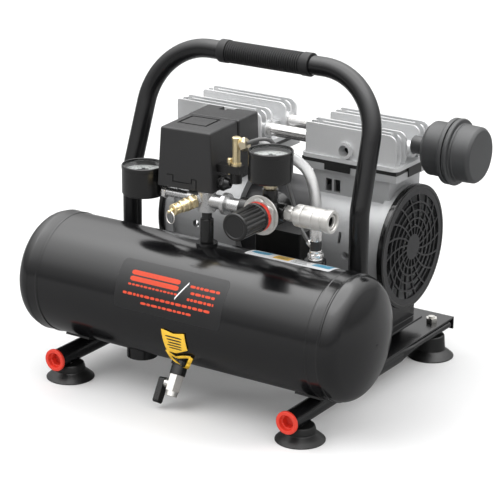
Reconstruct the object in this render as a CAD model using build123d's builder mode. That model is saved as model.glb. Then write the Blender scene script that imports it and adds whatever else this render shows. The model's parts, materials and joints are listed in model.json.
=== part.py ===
"""Portable twin-cylinder oil-free air compressor with an 8 litre tank (millimetres, +Z up).

The origin is on the floor, under the middle of the machine.  The tank lies along X in front,
the pump stands behind it on the base plate, and the carrying handle arches over both.
"""
import os
from math import asin, cos, degrees, pi, radians, sin, tan

from build123d import *

os.makedirs("parts", exist_ok=True)

# ---------------------------------------------------------------- driving dimensions
tank_x, tank_y, tank_z = -7.0, -116.0, 121.0
tank_radius = 75.0
tank_wall = 2.5
shell_half = 191.0
head_skirt = 17.0
dome_depth = 34.5
knuckle_radius = 22.0

rail_spread = 168.0
rail_radius = 11.8
rail_wall = 1.5
rail_z = 31.5
rail_front = -70.0
rail_pinch_from, rail_pinch_to, rail_end = 182.0, 202.0, 300.0
pinched_width, pinched_height = 31.0, 14.0

foot_radius = 30.0
foot_front, foot_rear = -42.0, 275.0
bolt_radius = 4.0

plate_half, plate_front, plate_rear = 183.0, 108.0, 308.0
plate_thickness = 2.0
flange_depth = 14.0

handle_spread, handle_top_spread = 165.0, 159.0
handle_y, handle_top_y = 87.1, 139.0
knee_z, handle_top_z = 240.0, 394.0
knee_bend, corner_bend = 45.0, 80.0
grip_half, grip_radius = 65.0, 13.6

drain_x, drain_angle = -3.0, 30.0
riser_x = 8.0
check_x, check_y = 140.0, 31.0
plug_x, plug_y = -82.0, -8.0
manifold_z = 251.0

switch_turn = 5.0
switch_depth, switch_step = 120.0, 68.0
switch_bottom, switch_top = 262.0, 334.0
safety_x = -1.0
regulator_x = 92.0
coupler_y, coupler_z = 3.0, 254.0
gauge_radius = 26.0
tank_gauge_x, tank_gauge_z = -84.0, 242.5
outlet_gauge_z = 290.0

pump_x, pump_y, crank_z = 8.0, 209.0, 166.0
crank_throw = 7.0
bore_radius = 30.0
piston_radius = 22.4
head_inner, head_outer = 27.5, 163.0
deck_inner, deck_outer, deck_half_depth = 28.5, 162.0, 44.0
head_half_depth = 45.5
deck_z, head_base_z, head_top_z = 266.0, 271.0, 314.5
guard_back, guard_face = 157.1, 164.6
guard_radius = 78.1
filter_z = 296.5

running_gap = 0.05
moving_gap = 0.4

X, Y, Z = Vector(1, 0, 0), Vector(0, 1, 0), Vector(0, 0, 1)


# ---------------------------------------------------------------- helpers
def place(dx, dy, z):
    """A point given from the tank's middle in plan, and from the floor in height."""
    return Vector(tank_x + dx, tank_y + dy, z)


def pump(dx, dy, dz):
    """A point given from the middle of the crank axis."""
    return place(pump_x + dx, pump_y + dy, crank_z + dz)


def square_to(direction):
    """A unit vector at right angles to the given one."""
    return Vector(0, 0, 1).cross(direction) if abs(direction.Z) < 0.9 else Vector(1, 0, 0)


def turn(base, direction, outline, mode=Mode.ADD):
    """Add a turned body: the outline holds (distance along the axis, radius) pairs."""
    across = square_to(direction)
    with BuildSketch(Plane(base, x_dir=direction, z_dir=direction.cross(across))) as profile:
        with BuildLine():
            Polyline(*outline, close=True)
        make_face()
    revolve(profile.sketch, axis=Axis(base, direction), mode=mode)


def rod(base, direction, radius, length, mode=Mode.ADD):
    """Add a plain round rod or, with Mode.SUBTRACT, bore a round hole."""
    with BuildSketch(Plane(base, x_dir=square_to(direction), z_dir=direction)) as profile:
        Circle(radius)
    extrude(profile.sketch, amount=length, mode=mode)


def tube(base, direction, outer, inner, length):
    """Add a plain round tube."""
    with BuildSketch(Plane(base, x_dir=square_to(direction), z_dir=direction)) as profile:
        Circle(outer)
        Circle(inner, mode=Mode.SUBTRACT)
    extrude(profile.sketch, amount=length)


def hexagon(base, direction, across_flats, length, mode=Mode.ADD):
    """Add a hexagonal prism, as on a nut or a fitting."""
    with BuildSketch(Plane(base, x_dir=square_to(direction), z_dir=direction)) as profile:
        RegularPolygon(across_flats / 2, 6, major_radius=False)
    extrude(profile.sketch, amount=length, mode=mode)


def block(low, high, mode=Mode.ADD):
    """Add a plain block between two corners."""
    size = high - low
    with BuildSketch(Plane(low + Vector(size.X / 2, size.Y / 2, 0))) as profile:
        Rectangle(size.X, size.Y)
    extrude(profile.sketch, amount=size.Z, mode=mode)


def sector(x_from, x_to, inner, outer, angle_from, angle_to):
    """Add a band wrapped round the tank axis; angles run from +Y over the top to -Y."""
    with BuildSketch(Plane(place(x_from, 0, tank_z), x_dir=Y, z_dir=X)) as profile:
        with BuildLine():
            outside = CenterArc((0, 0), outer, angle_from, angle_to - angle_from)
            inside = CenterArc((0, 0), inner, angle_from, angle_to - angle_from)
            Line(outside @ 0, inside @ 0)
            Line(outside @ 1, inside @ 1)
        make_face()
    extrude(profile.sketch, amount=x_to - x_from)


def keep_clear_of_tank(clearance=0.0):
    """Cut the part in hand back to the tank's outer surface."""
    rod(place(-shell_half - 60, 0, tank_z), X, tank_radius + clearance, 2 * shell_half + 120,
        mode=Mode.SUBTRACT)


def save(builder, name):
    """Label a finished piece and write it."""
    builder.part.label = name
    export_step(builder.part, f"parts/{name}.step")


mount_height = 12.0
head_bolt_spots = [pump(side * dx, dy, deck_z - crank_z) for side in (-1, 1)
                   for dx in (45, 149.5) for dy in (-31.25, 31.25)]
drain_axis = Vector(0, -sin(radians(drain_angle)), -cos(radians(drain_angle)))
drain_seat = place(drain_x, 0, tank_z) + drain_axis * tank_radius
check_seat_z = tank_z + (tank_radius**2 - check_y**2) ** 0.5
riser_seat_z = tank_z + tank_radius

# ---------------------------------------------------------------- tank
with BuildPart() as tank_shell:
    tube(place(-shell_half, 0, tank_z), X, tank_radius, tank_radius - tank_wall, 2 * shell_half)
    rod(place(riser_x, 0, tank_z + 60), Z, 5, 30, mode=Mode.SUBTRACT)
    rod(place(check_x, check_y, tank_z + 50), Z, 5, 30, mode=Mode.SUBTRACT)
    rod(place(drain_x, 0, tank_z) + drain_axis * 60, drain_axis, 5, 30, mode=Mode.SUBTRACT)
save(tank_shell, "tank_shell")

crown_radius = (
    (tank_radius - knuckle_radius) ** 2 + dome_depth**2 - knuckle_radius**2
) / (2 * (dome_depth - knuckle_radius))
knuckle_sweep = 90 - degrees(asin((tank_radius - knuckle_radius) / (crown_radius - knuckle_radius)))


def dished_face(side, inset):
    """Fill one half of a dished end's outline, inset from its outer surface."""
    start = place(side * shell_half, 0, tank_z)
    with BuildSketch(Plane(start, x_dir=X * side, z_dir=Z * side)) as face:
        with BuildLine():
            skirt = Line((0, tank_radius - inset), (head_skirt, tank_radius - inset))
            knuckle = CenterArc((head_skirt, tank_radius - knuckle_radius),
                                knuckle_radius - inset, 90, -knuckle_sweep)
            crown = CenterArc((head_skirt + dome_depth - crown_radius, 0), crown_radius - inset,
                              90 - knuckle_sweep, knuckle_sweep - 90)
            Line(crown @ 1, (0, 0))
            Line((0, 0), skirt @ 0)
        make_face()
    return face


with BuildPart() as tank_heads:
    for side in (-1, 1):
        start = place(side * shell_half, 0, tank_z)
        revolve(dished_face(side, 0).sketch, axis=Axis(start, X))
    for side in (-1, 1):
        start = place(side * shell_half, 0, tank_z)
        revolve(dished_face(side, tank_wall).sketch, axis=Axis(start, X), mode=Mode.SUBTRACT)
    for side in (-1, 1):
        for bead_at in (1.5, head_skirt):
            turn(place(side * (shell_half + bead_at), 0, tank_z), X * side,
                 [(-1.5, 74.8), (1.5, 74.8), (0.8, 75.9), (-0.8, 75.9)])
save(tank_heads, "tank_heads")

with BuildPart() as tank_fittings:
    rod(place(riser_x, 0, riser_seat_z - 5), Z, 13, 8)
    rod(place(check_x, check_y, check_seat_z - 12), Z, 12.5, 16.5)
    rod(drain_seat - drain_axis * 3, drain_axis, 11, 8)
    rod(place(plug_x, plug_y, 37), Z, 19, 14)
    for side in (-1, 1):
        sector(side * rail_spread - 18, side * rail_spread + 18, tank_radius - 1, tank_radius + 3,
               250, 290)
    keep_clear_of_tank()
    rod(place(riser_x, 0, tank_z + 60), Z, 5, 30, mode=Mode.SUBTRACT)
    rod(place(check_x, check_y, tank_z + 50), Z, 5, 35, mode=Mode.SUBTRACT)
    rod(place(drain_x, 0, tank_z) + drain_axis * 60, drain_axis, 5, 30, mode=Mode.SUBTRACT)
save(tank_fittings, "tank_fittings")

# ---------------------------------------------------------------- frame
plate_z = rail_z + rail_radius
pinch_z = plate_z - pinched_height / 2
with BuildPart() as rails:
    for side in (-1, 1):
        for shrink, how in ((0, Mode.ADD), (rail_wall, Mode.SUBTRACT)):
            round_end = Plane(place(side * rail_spread, rail_pinch_from, rail_z), x_dir=X, z_dir=-Y)
            flat_end = Plane(place(side * rail_spread, rail_pinch_to, pinch_z), x_dir=X, z_dir=-Y)
            rod(place(side * rail_spread, rail_front, rail_z), Y, rail_radius - shrink,
                rail_pinch_from - rail_front, mode=how)
            with BuildSketch(round_end):
                Circle(rail_radius - shrink)
            with BuildSketch(flat_end):
                Ellipse(pinched_width / 2 - shrink, pinched_height / 2 - shrink)
            loft(mode=how)
            with BuildSketch(flat_end):
                Ellipse(pinched_width / 2 - shrink, pinched_height / 2 - shrink)
            extrude(amount=rail_pinch_to - rail_end, mode=how)
        rod(place(side * rail_spread, foot_front, 10), Z, bolt_radius + 0.3, 15, mode=Mode.SUBTRACT)
        rod(place(side * rail_spread, foot_rear, 20), Z, bolt_radius + 0.3, 40, mode=Mode.SUBTRACT)
    keep_clear_of_tank(3)
save(rails, "rails")

with BuildPart() as rail_end_caps:
    for side in (-1, 1):
        turn(place(side * rail_spread, rail_front, rail_z), -Y,
             [(0, 10.2), (-14, 10.2), (-14, 0), (-11, 0), (-11, 6.2), (-3, 6.2), (-3, 8.2), (4, 8.2),
              (4, 13.4), (3.2, 14.2), (0, 14.2)])
save(rail_end_caps, "rail_end_caps")

mount_spots = [pump(dx, dy, plate_z + plate_thickness - crank_z) for dx in (-120, 120)
               for dy in (-36, 36)]
with BuildPart() as base_plate:
    block(place(-plate_half, plate_front, plate_z),
          place(plate_half, plate_rear, plate_z + plate_thickness))
    block(place(-plate_half, plate_rear - plate_thickness, plate_z - flange_depth),
          place(plate_half, plate_rear, plate_z))
    for side in (-1, 1):
        rod(place(side * rail_spread, foot_rear, plate_z - 5), Z, bolt_radius + 0.3, 10,
            mode=Mode.SUBTRACT)
    for spot in mount_spots:
        rod(spot - Z * 10, Z, 3.3, 20, mode=Mode.SUBTRACT)
    fillet(base_plate.edges().filter_by(Axis.Z).group_by(Axis.Y)[0], 8)
save(base_plate, "base_plate")

foot_spots = [(side * rail_spread, dy) for side in (-1, 1) for dy in (foot_front, foot_rear)]


def foot_top(dy):
    """Height at which a foot meets the rail above it."""
    return rail_z - rail_radius if dy < 0 else plate_z - pinched_height


with BuildPart() as suction_feet:
    for dx, dy in foot_spots:
        top = foot_top(dy) - 0.1
        turn(place(dx, dy, 0), Z,
             [(0, foot_radius), (1.8, foot_radius - 0.4), (5.5, 26), (9, 20.5), (10.5, 18.5),
              (top - 1, 18), (top, 17), (top, bolt_radius + 0.2), (10, bolt_radius + 0.2), (10, 9),
              (4.5, 9), (1.5, 24), (0, 28)])
save(suction_feet, "suction_feet")

with BuildPart() as bolts:
    for dx, dy in foot_spots:
        shank_top = rail_z - 1 if dy < 0 else plate_z + plate_thickness + 8
        hexagon(place(dx, dy, 5), Z, 13, 5)
        rod(place(dx, dy, 10), Z, bolt_radius, shank_top - 10)
        nut_z = rail_z - 6.9 if dy < 0 else plate_z + plate_thickness + 0.1
        hexagon(place(dx, dy, nut_z), Z, 13, 6)
    for spot in head_bolt_spots:
        rod(spot - Z * 12, Z, 2.4, 23)
        hexagon(spot + Z * 10, Z, 7, 4)
    for spot in mount_spots:
        hexagon(spot - Z * 7, Z, 10, 4.8)
        rod(spot - Z * 4, Z, 3, 23)
        hexagon(spot + Z * (mount_height + 3.1), Z, 10, 5)
save(bolts, "bolts")

handle_route = [
    place(-handle_spread, handle_y, rail_z),
    place(-handle_spread, handle_y, knee_z),
    place(-handle_top_spread, handle_top_y, handle_top_z),
    place(handle_top_spread, handle_top_y, handle_top_z),
    place(handle_spread, handle_y, knee_z),
    place(handle_spread, handle_y, rail_z),
]
with BuildPart() as handle_frame:
    with BuildLine() as handle_line:
        FilletPolyline(*handle_route, radius=[knee_bend, corner_bend, corner_bend, knee_bend])
    with BuildSketch(Plane(handle_route[0], x_dir=X, z_dir=Z)):
        Circle(rail_radius)
        Circle(rail_radius - rail_wall, mode=Mode.SUBTRACT)
    sweep(path=handle_line.wires()[0])
    for side in (-1, 1):
        rod(place(side * rail_spread, handle_y - 30, rail_z), Y, rail_radius, 60, mode=Mode.SUBTRACT)
print("handle volume against section x length",
      round(handle_frame.part.volume / (handle_line.wires()[0].length * pi
            * (rail_radius**2 - (rail_radius - rail_wall) ** 2)), 3))
save(handle_frame, "handle_frame")

with BuildPart() as handle_grip:
    tube(place(-grip_half, handle_top_y, handle_top_z), X, grip_radius, rail_radius + running_gap,
         2 * grip_half)
    for end in (-grip_half, grip_half - 7):
        tube(place(end, handle_top_y, handle_top_z), X, grip_radius + 0.9, grip_radius - 0.5, 7)
save(handle_grip, "handle_grip")

# ---------------------------------------------------------------- drain valve
with BuildPart() as drain_nipple:
    rod(drain_seat + drain_axis * 5, drain_axis, 9.5, 12)
    rod(drain_seat - drain_axis * 2, drain_axis, 4.9, 8)
    rod(drain_seat - drain_axis * 3, drain_axis, 2.5, 30, mode=Mode.SUBTRACT)
save(drain_nipple, "drain_nipple")

drain_top = drain_seat + drain_axis * 17
ball_spot = drain_top + drain_axis * 12
shut_bore = Vector(0, drain_axis.Z, -drain_axis.Y)
with BuildPart() as drain_valve_body:
    hexagon(drain_top, drain_axis, 16, 20)
    rod(drain_top + drain_axis * 20, drain_axis, 7.2, 6)
    rod(ball_spot, -X, 5.5, 12)
    rod(drain_top - drain_axis, drain_axis, 2.5, 30, mode=Mode.SUBTRACT)
    with Locations(ball_spot):
        Sphere(5 + running_gap, mode=Mode.SUBTRACT)
    rod(ball_spot, -X, 2.5 + running_gap, 20, mode=Mode.SUBTRACT)
save(drain_valve_body, "drain_valve_body")

with BuildPart() as drain_ball:
    with Locations(ball_spot):
        Sphere(5)
    rod(ball_spot, -X, 2.5, 17)
    rod(ball_spot - shut_bore * 8, shut_bore, 2.2, 16, mode=Mode.SUBTRACT)
save(drain_ball, "drain_ball")

lever_plane = Plane(ball_spot - X * 12.6, x_dir=drain_axis, z_dir=-X)
with BuildPart() as drain_lever:
    with BuildSketch(lever_plane):
        with Locations((10, 0)):
            RectangleRounded(32, 11, 3.5)
    extrude(amount=8, taper=3)
    rod(ball_spot - X * 10, -X, 2.5, 20, mode=Mode.SUBTRACT)
save(drain_lever, "drain_lever")

# ---------------------------------------------------------------- pipework over the tank
with BuildPart() as riser_pipe:
    turn(place(riser_x, 0, riser_seat_z), Z,
         [(-6, 2.5), (-6, 4.9), (3.1, 4.9), (3.1, 8), (32, 8), (32, 6), (51.5, 6), (51.5, 2.5)])
save(riser_pipe, "riser_pipe")

manifold_left, manifold_step, manifold_right = -48.0, -16.0, 64.0
arm_radius, arm_bore = 5.5, 3.4
safety_seat = place(safety_x, -8.5, manifold_z)
safety_axis = Vector(-12, -40, -6).normalized()
with BuildPart() as manifold:
    rod(place(manifold_left, 0, manifold_z), X, arm_radius, 40)
    rod(place(manifold_step, 0, manifold_z), X, 8.5, manifold_right - manifold_step)
    rod(place(riser_x, 0, manifold_z - 13), Z, 11, switch_bottom - manifold_z + 13)
    rod(place(33, 0, manifold_z), X, 13, 5)
    hexagon(safety_seat - safety_axis * 8, safety_axis, 16, 11)
    rod(place(riser_x, 0, manifold_z - 14), Z, 6 + running_gap, 11, mode=Mode.SUBTRACT)
    rod(place(manifold_step + 2, 0, manifold_z), X, 5, manifold_right - manifold_step, mode=Mode.SUBTRACT)
    rod(place(manifold_left - 1, 0, manifold_z), X, arm_bore, 40, mode=Mode.SUBTRACT)
    rod(safety_seat - safety_axis * 6, safety_axis, 5.05, 10, mode=Mode.SUBTRACT)
save(manifold, "manifold")

# ---------------------------------------------------------------- pressure switch
switch_across = Vector(cos(radians(switch_turn)), sin(radians(switch_turn)), 0)
switch_inward = Z.cross(switch_across)
switch_front = place(-17.5, -10, 0)


def switch_at(across, inward, z):
    """A point in the switch's own square frame, from the middle of its front face."""
    return switch_front + switch_across * across + switch_inward * inward + Z * z


def switch_level(z):
    """A level plane squared up with the switch."""
    return Plane(switch_at(0, 0, z), x_dir=switch_across, z_dir=Z)


def switch_block(across, inward, z_from, z_to, mode=Mode.ADD):
    """A block squared up with the switch, spanning the given ranges."""
    with BuildSketch(switch_level(z_from)) as profile:
        with Locations(((across[0] + across[1]) / 2, (inward[0] + inward[1]) / 2)):
            Rectangle(across[1] - across[0], inward[1] - inward[0])
    extrude(profile.sketch, amount=z_to - z_from, mode=mode)


def switch_hood(inward, foot_half, top_half, inset, mode=Mode.ADD):
    """One tapered box of the cover, or with an inset the hollow inside it."""
    outlines = []
    for z, half, draw_in in ((switch_bottom, foot_half, 0), (switch_top - inset, top_half, 1)):
        with BuildSketch(switch_level(z)) as profile:
            with Locations((0, (inward[0] + inward[1]) / 2)):
                Rectangle(2 * (half - inset), inward[1] - inward[0] - 2 * inset - 2 * draw_in)
        outlines.append(profile.sketch)
    loft(outlines, mode=mode)


switch_wall = 2.2
arm_inward, arm_bottom, arm_top = (12.0, 28.0), 285.5, 294.6
with BuildPart() as switch_cover:
    switch_hood((0, switch_step), 37.5, 33.5, 0)
    switch_hood((switch_step + 1.4, switch_depth), 37.0, 34.5, 0)
    switch_block((-33, 33), (switch_step - 6, switch_step + 8), switch_bottom, switch_top - 1)
    switch_hood((0, switch_step), 37.5, 33.5, switch_wall, mode=Mode.SUBTRACT)
    switch_hood((switch_step + 1.4, switch_depth), 37.0, 34.5, switch_wall, mode=Mode.SUBTRACT)
    switch_block((-30, 30), (switch_step - 8, switch_step + 10), switch_bottom, switch_top - 3.2,
                 mode=Mode.SUBTRACT)
    switch_block((30, 40), (arm_inward[0] - 0.6, arm_inward[1] + 0.6), switch_bottom - 1,
                 arm_top + 0.4, mode=Mode.SUBTRACT)
    with BuildSketch(switch_level(switch_top)) as frame_groove:
        with Locations((-5, 44)):
            Rectangle(38, 35)
            Rectangle(36, 33, mode=Mode.SUBTRACT)
    extrude(frame_groove.sketch, amount=-0.8, mode=Mode.SUBTRACT)
    switch_block((-12, -4), (104, 122), switch_top - 1.6, switch_top + 1, mode=Mode.SUBTRACT)
    switch_block((-4, 6), (110, 122), switch_top - 1.6, switch_top + 1, mode=Mode.SUBTRACT)
save(switch_cover, "switch_cover")

gland_spot = switch_at(36.6, 20, 271)
pin_spot = switch_at(49.5, 20, 0)
unloader_spot = switch_at(58.5, 20, 0)
with BuildPart() as switch_base:
    switch_block((-29.6, 29.6), (5, 112), switch_bottom, switch_bottom + 4)
    switch_block((-22, 22), (14, 84), switch_bottom + 4, switch_top - 26)
    switch_block((18, 36.5), arm_inward, switch_bottom, switch_bottom + 4)
    switch_block((33, 36.5), arm_inward, switch_bottom, arm_top)
    switch_block((33, 66), (arm_inward[0] + 1, arm_inward[1] - 1), arm_bottom, arm_top)
    rod(unloader_spot + Z * (arm_bottom - 12), Z, 7, 13)
    rod(gland_spot - switch_across * 8, switch_across, 5.4, 10, mode=Mode.SUBTRACT)
    rod(pin_spot + Z * (arm_bottom - 1), Z, 1.8 + running_gap, 12, mode=Mode.SUBTRACT)
save(switch_base, "switch_base")

with BuildPart() as cable_gland:
    turn(gland_spot, switch_across,
         [(-6, 3.3), (-6, 5.3), (0.1, 5.3), (0.1, 8.5), (3, 8.5), (3, 7.6), (9, 7.6),
          (14.5, 5.4), (14.5, 3.3)])
    hexagon(gland_spot + switch_across * 3.5, switch_across, 17, 5)
    rod(gland_spot - switch_across * 7, switch_across, 3.3, 24, mode=Mode.SUBTRACT)
save(cable_gland, "cable_gland")

with BuildPart() as unloader_valve:
    turn(unloader_spot + Z * arm_top, Z,
         [(0, 0), (0, 6), (3, 6), (3, 4.7), (30, 4.7), (31.5, 5.3), (34, 5.3), (34.6, 4.4), (34.6, 0)])
save(unloader_valve, "unloader_valve")

with BuildPart() as unloader_pin:
    turn(pin_spot + Z * arm_top, Z,
         [(-12, 0), (-12, 1.8), (2.2, 1.8), (2.2, 3), (7, 3), (7.8, 2.2), (7.8, 0)])
save(unloader_pin, "unloader_pin")


def corner_radii(points):
    """The corner radii of a tube's route: each arc is as large as its two runs allow."""
    radii = []
    for before, corner, after in zip(points, points[1:], points[2:]):
        half_turn = radians((corner - before).get_angle(after - corner)) / 2
        shorter = min((corner - before).length, (after - corner).length)
        radii.append(0.45 * shorter / tan(half_turn))
    return radii


def bent_tube(points, outer, inner, name):
    """A tube of straight runs joined by tangent arcs along a hand-laid route."""
    radii = corner_radii(points)
    with BuildPart() as pipe:
        with BuildLine() as line:
            FilletPolyline(*points, radius=radii)
        heading = (points[1] - points[0]).normalized()
        with BuildSketch(Plane(points[0], x_dir=square_to(heading).normalized(), z_dir=heading)):
            Circle(outer)
            Circle(inner, mode=Mode.SUBTRACT)
        sweep(path=line.wires()[0])
    length = line.wires()[0].length
    share = pipe.part.volume / (length * pi * (outer**2 - inner**2))
    print(name, "length", round(length, 1), "radii", [round(radius) for radius in radii],
          "volume against section x length", round(share, 4))
    save(pipe, name)
    return pipe


tube_route = [
    place(52, 20, 323), place(68, 23, 331), place(77, 34, 326), place(81, 45, 306),
    place(86, 49, 282), place(96, 47, 257), place(107, 43, 236), place(118, 37, 220),
    place(130, 32, 212.5),
]
tube_heading = (tube_route[1] - tube_route[0]).normalized()
tube_end_heading = (tube_route[-1] - tube_route[-2]).normalized()
unloader_tube = bent_tube(tube_route, 2.4, 1.4, "unloader_tube")

# ---------------------------------------------------------------- safety valve
safety_across = Z.cross(safety_axis).normalized()
ring_hole = safety_seat + safety_axis * 39.5
ring_radius, ring_wire = 7.6, 0.9
with BuildPart() as safety_valve_body:
    turn(safety_seat, safety_axis,
         [(-3, 2.2), (-3, 5), (3.1, 5), (3.1, 8.2), (11, 8.2), (11, 6.6), (25, 6.6), (27, 5.4),
          (36, 4.4), (36, 2.05), (30, 2.05), (30, 4.6), (7, 4.6), (7, 2.2)])
    hexagon(safety_seat + safety_axis * 11.5, safety_axis, 15.5, 5)
    rod(safety_seat + safety_axis * 8, safety_axis, 4.6, 20, mode=Mode.SUBTRACT)
save(safety_valve_body, "safety_valve_body")

with BuildPart() as safety_valve_stem:
    turn(safety_seat, safety_axis,
         [(7.3, 0), (7.3, 4.1), (10, 4.1), (10, 2), (43, 2), (43, 0)])
    rod(ring_hole - safety_across * 5, safety_across, 1.4, 10, mode=Mode.SUBTRACT)
save(safety_valve_stem, "safety_valve_stem")

with BuildPart() as pull_ring:
    with Locations(Plane(ring_hole - Z * ring_radius, x_dir=safety_across,
                         z_dir=safety_across.cross(Z))):
        Torus(ring_radius, ring_wire)
save(pull_ring, "pull_ring")

# ---------------------------------------------------------------- gauges
gauge_height = 37.0
tank_gauge_base = place(tank_gauge_x, 0, tank_gauge_z)
outlet_gauge_base = place(regulator_x + 4, 0, outlet_gauge_z)
gauge_bases = (tank_gauge_base, outlet_gauge_base)
with BuildPart() as gauge_cases:
    for base in gauge_bases:
        turn(base, Z,
             [(0, 0), (0, 24.6), (1.4, gauge_radius), (33, gauge_radius), (33, 26.4), (37, 26.4),
              (37, 23.6), (35.05, 23.6), (35.05, 24.4), (28, 24.4), (28, 0)])
save(gauge_cases, "gauge_cases")

with BuildPart() as gauge_dials:
    for base in gauge_bases:
        turn(base, Z, [(28, 0), (28, 24.3), (28.6, 24.3), (28.6, 0.8), (30.4, 0.8), (30.4, 0)])
save(gauge_dials, "gauge_dials")

with BuildPart() as gauge_lenses:
    for base in gauge_bases:
        rod(base + Z * 33.4, Z, 24.3, 1.6)
save(gauge_lenses, "gauge_lenses")


def gauge_needle(base, name):
    """A needle on its hub, pointing to zero at the lower left of its dial."""
    zero = Vector(-1, -1, 0).normalized()
    with BuildPart() as needle:
        rod(base + Z * 29, Z, 2.2, 2.6)
        with BuildSketch(Plane(base + Z * 30, x_dir=zero, z_dir=Z)):
            Polygon((-6, -1), (-6, 1), (17, 0.3), (17, -0.3), align=None)
        extrude(amount=0.6)
        rod(base + Z * 28.9, Z, 0.85, 1.7, mode=Mode.SUBTRACT)
    save(needle, name)
    return needle


tank_needle = gauge_needle(tank_gauge_base, "tank_needle")
outlet_needle = gauge_needle(outlet_gauge_base, "outlet_needle")

# ---------------------------------------------------------------- regulator
regulator_middle = place(regulator_x, 0, manifold_z)
bonnet = place(regulator_x, -12.5, manifold_z)
with BuildPart() as regulator_body:
    rod(bonnet, Y, 19, 36.5)
    turn(bonnet, -Y, [(-1, 4.1), (-1, 11.4), (16, 11.4), (16, 4.1)])
    rod(place(manifold_right - 6, 0, manifold_z), X, 12, 20)
    rod(place(regulator_x + 12, coupler_y, coupler_z), X, 10.5, 13)
    rod(place(regulator_x + 4, 0, manifold_z + 10), Z, 9.5, outlet_gauge_z - manifold_z - 20)
    rod(bonnet + Y * 3, Y, 15, 28, mode=Mode.SUBTRACT)
    rod(bonnet - Y * 20, Y, 4.1, 25, mode=Mode.SUBTRACT)
    rod(place(manifold_right - 7, 0, manifold_z), X, 8.55, 7.4, mode=Mode.SUBTRACT)
    rod(place(manifold_right - 7, 0, manifold_z), X, 4, 24, mode=Mode.SUBTRACT)
    rod(place(regulator_x + 4, 0, manifold_z + 12), Z, 4.95, 20, mode=Mode.SUBTRACT)
    rod(place(regulator_x + 10, coupler_y, coupler_z), X, 4.95, 16, mode=Mode.SUBTRACT)
save(regulator_body, "regulator_body")

with BuildPart() as regulator_nut:
    turn(bonnet, -Y, [(0.1, 11.5), (0.1, 22.6), (0.8, 23.7), (3.4, 23.7), (4.2, 22.6), (4.2, 11.5)])
    hexagon(bonnet - Y * 4.2, -Y, 33, 2.2)
    rod(bonnet, -Y, 11.5, 8, mode=Mode.SUBTRACT)
save(regulator_nut, "regulator_nut")

with BuildPart() as regulator_lock_ring:
    turn(bonnet, -Y, [(6.5, 11.5), (6.5, 17.6), (10, 17.6), (10.6, 16.8), (10.6, 11.5)])
save(regulator_lock_ring, "regulator_lock_ring")

with BuildPart() as regulator_stem:
    turn(bonnet, -Y, [(-14, 0), (-14, 8), (-4, 8), (-4, 4.05), (46, 4.05), (46, 0)])
save(regulator_stem, "regulator_stem")

knob_start, knob_end, knob_radius = 11.2, 56.0, 17.6
knob_mouth, knob_floor = 8.8, 3.0
flute_count, flute_radius = 16, 1.5
with BuildPart() as regulator_knob:
    knob_base = bonnet - Y * knob_start
    with BuildSketch(Plane(knob_base, x_dir=X, z_dir=-Y)) as fluted:
        Circle(knob_radius)
        with PolarLocations(knob_radius + 0.2, flute_count):
            Circle(flute_radius, mode=Mode.SUBTRACT)
    extrude(fluted.sketch, amount=knob_end - knob_start)
    rod(knob_base, -Y, 12, knob_mouth, mode=Mode.SUBTRACT)
    rod(knob_base, -Y, 4.1, knob_end - knob_start - knob_floor, mode=Mode.SUBTRACT)
save(regulator_knob, "regulator_knob")

# ---------------------------------------------------------------- outlet coupler
coupler_start = place(regulator_x + 25, coupler_y, coupler_z)
with BuildPart() as coupler_body:
    turn(coupler_start, X,
         [(-10, 3.5), (-10, 4.9), (0.1, 4.9), (0.1, 8.2), (9.4, 8.2), (9.4, 9.2), (60, 9.2), (60, 6),
          (30, 6), (30, 3.5)])
    hexagon(coupler_start + X * 0.1, X, 16.4, 9.2)
    rod(coupler_start - X * 11, X, 3.5, 45, mode=Mode.SUBTRACT)
save(coupler_body, "coupler_body")

with BuildPart() as coupler_sleeve:
    turn(coupler_start, X,
         [(14, 9.25), (14, 12.4), (15, 13.2), (50, 13.2), (50.6, 12.2), (54, 12.2), (54, 14),
          (61.4, 14), (62, 13.2), (62, 9.25)])
save(coupler_sleeve, "coupler_sleeve")

# ---------------------------------------------------------------- check valve and hose
check_top = check_seat_z + 4.6
with BuildPart() as check_valve_body:
    turn(place(check_x, check_y, check_top), Z,
         [(-10, 2.5), (-10, 4.9), (0, 4.9), (0, 8), (23, 8), (23, 3), (13, 3), (13, 5), (5, 5), (5, 2.5)])
    hexagon(place(check_x, check_y, check_top), Z, 19, 13)
    turn(place(check_x, check_y, check_top), Z, [(5, 0), (5, 5), (13, 5), (13, 0)], mode=Mode.SUBTRACT)
    rod(place(check_x, check_y, check_top - 1), Z, 2.5, 8, mode=Mode.SUBTRACT)
    rod(place(check_x, check_y, check_top + 12), Z, 3, 12, mode=Mode.SUBTRACT)
    rod(tube_route[-1], tube_end_heading, 3.2, 4)
save(check_valve_body, "check_valve_body")

with BuildPart() as check_valve_poppet:
    turn(place(check_x, check_y, check_top), Z, [(8, 0), (8, 4.4), (11.6, 4.4), (12.7, 2.6), (12.7, 0)])
save(check_valve_poppet, "check_valve_poppet")

port_x, port_z = 89.1, 286.7
hose_radius, hose_bore, ferrule_radius = 6.4, 4.4, 7.5
hose_top = pump(-port_x, -61, port_z - crank_z)
hose_foot_z = check_top + 39
discharge_hose = bent_tube(
    [hose_top + X * 18, place(-28, 146, 285), place(12, 136, 283), place(48, 118, 283),
     place(80, 93, 285), place(105, 69, 285), place(127, 45, 277), place(check_x, check_y, 257),
     place(check_x, check_y, hose_foot_z)],
    hose_radius, hose_bore, "discharge_hose")
hose_start_heading = (place(-28, 146, 285) - (hose_top + X * 18)).normalized()

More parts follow.
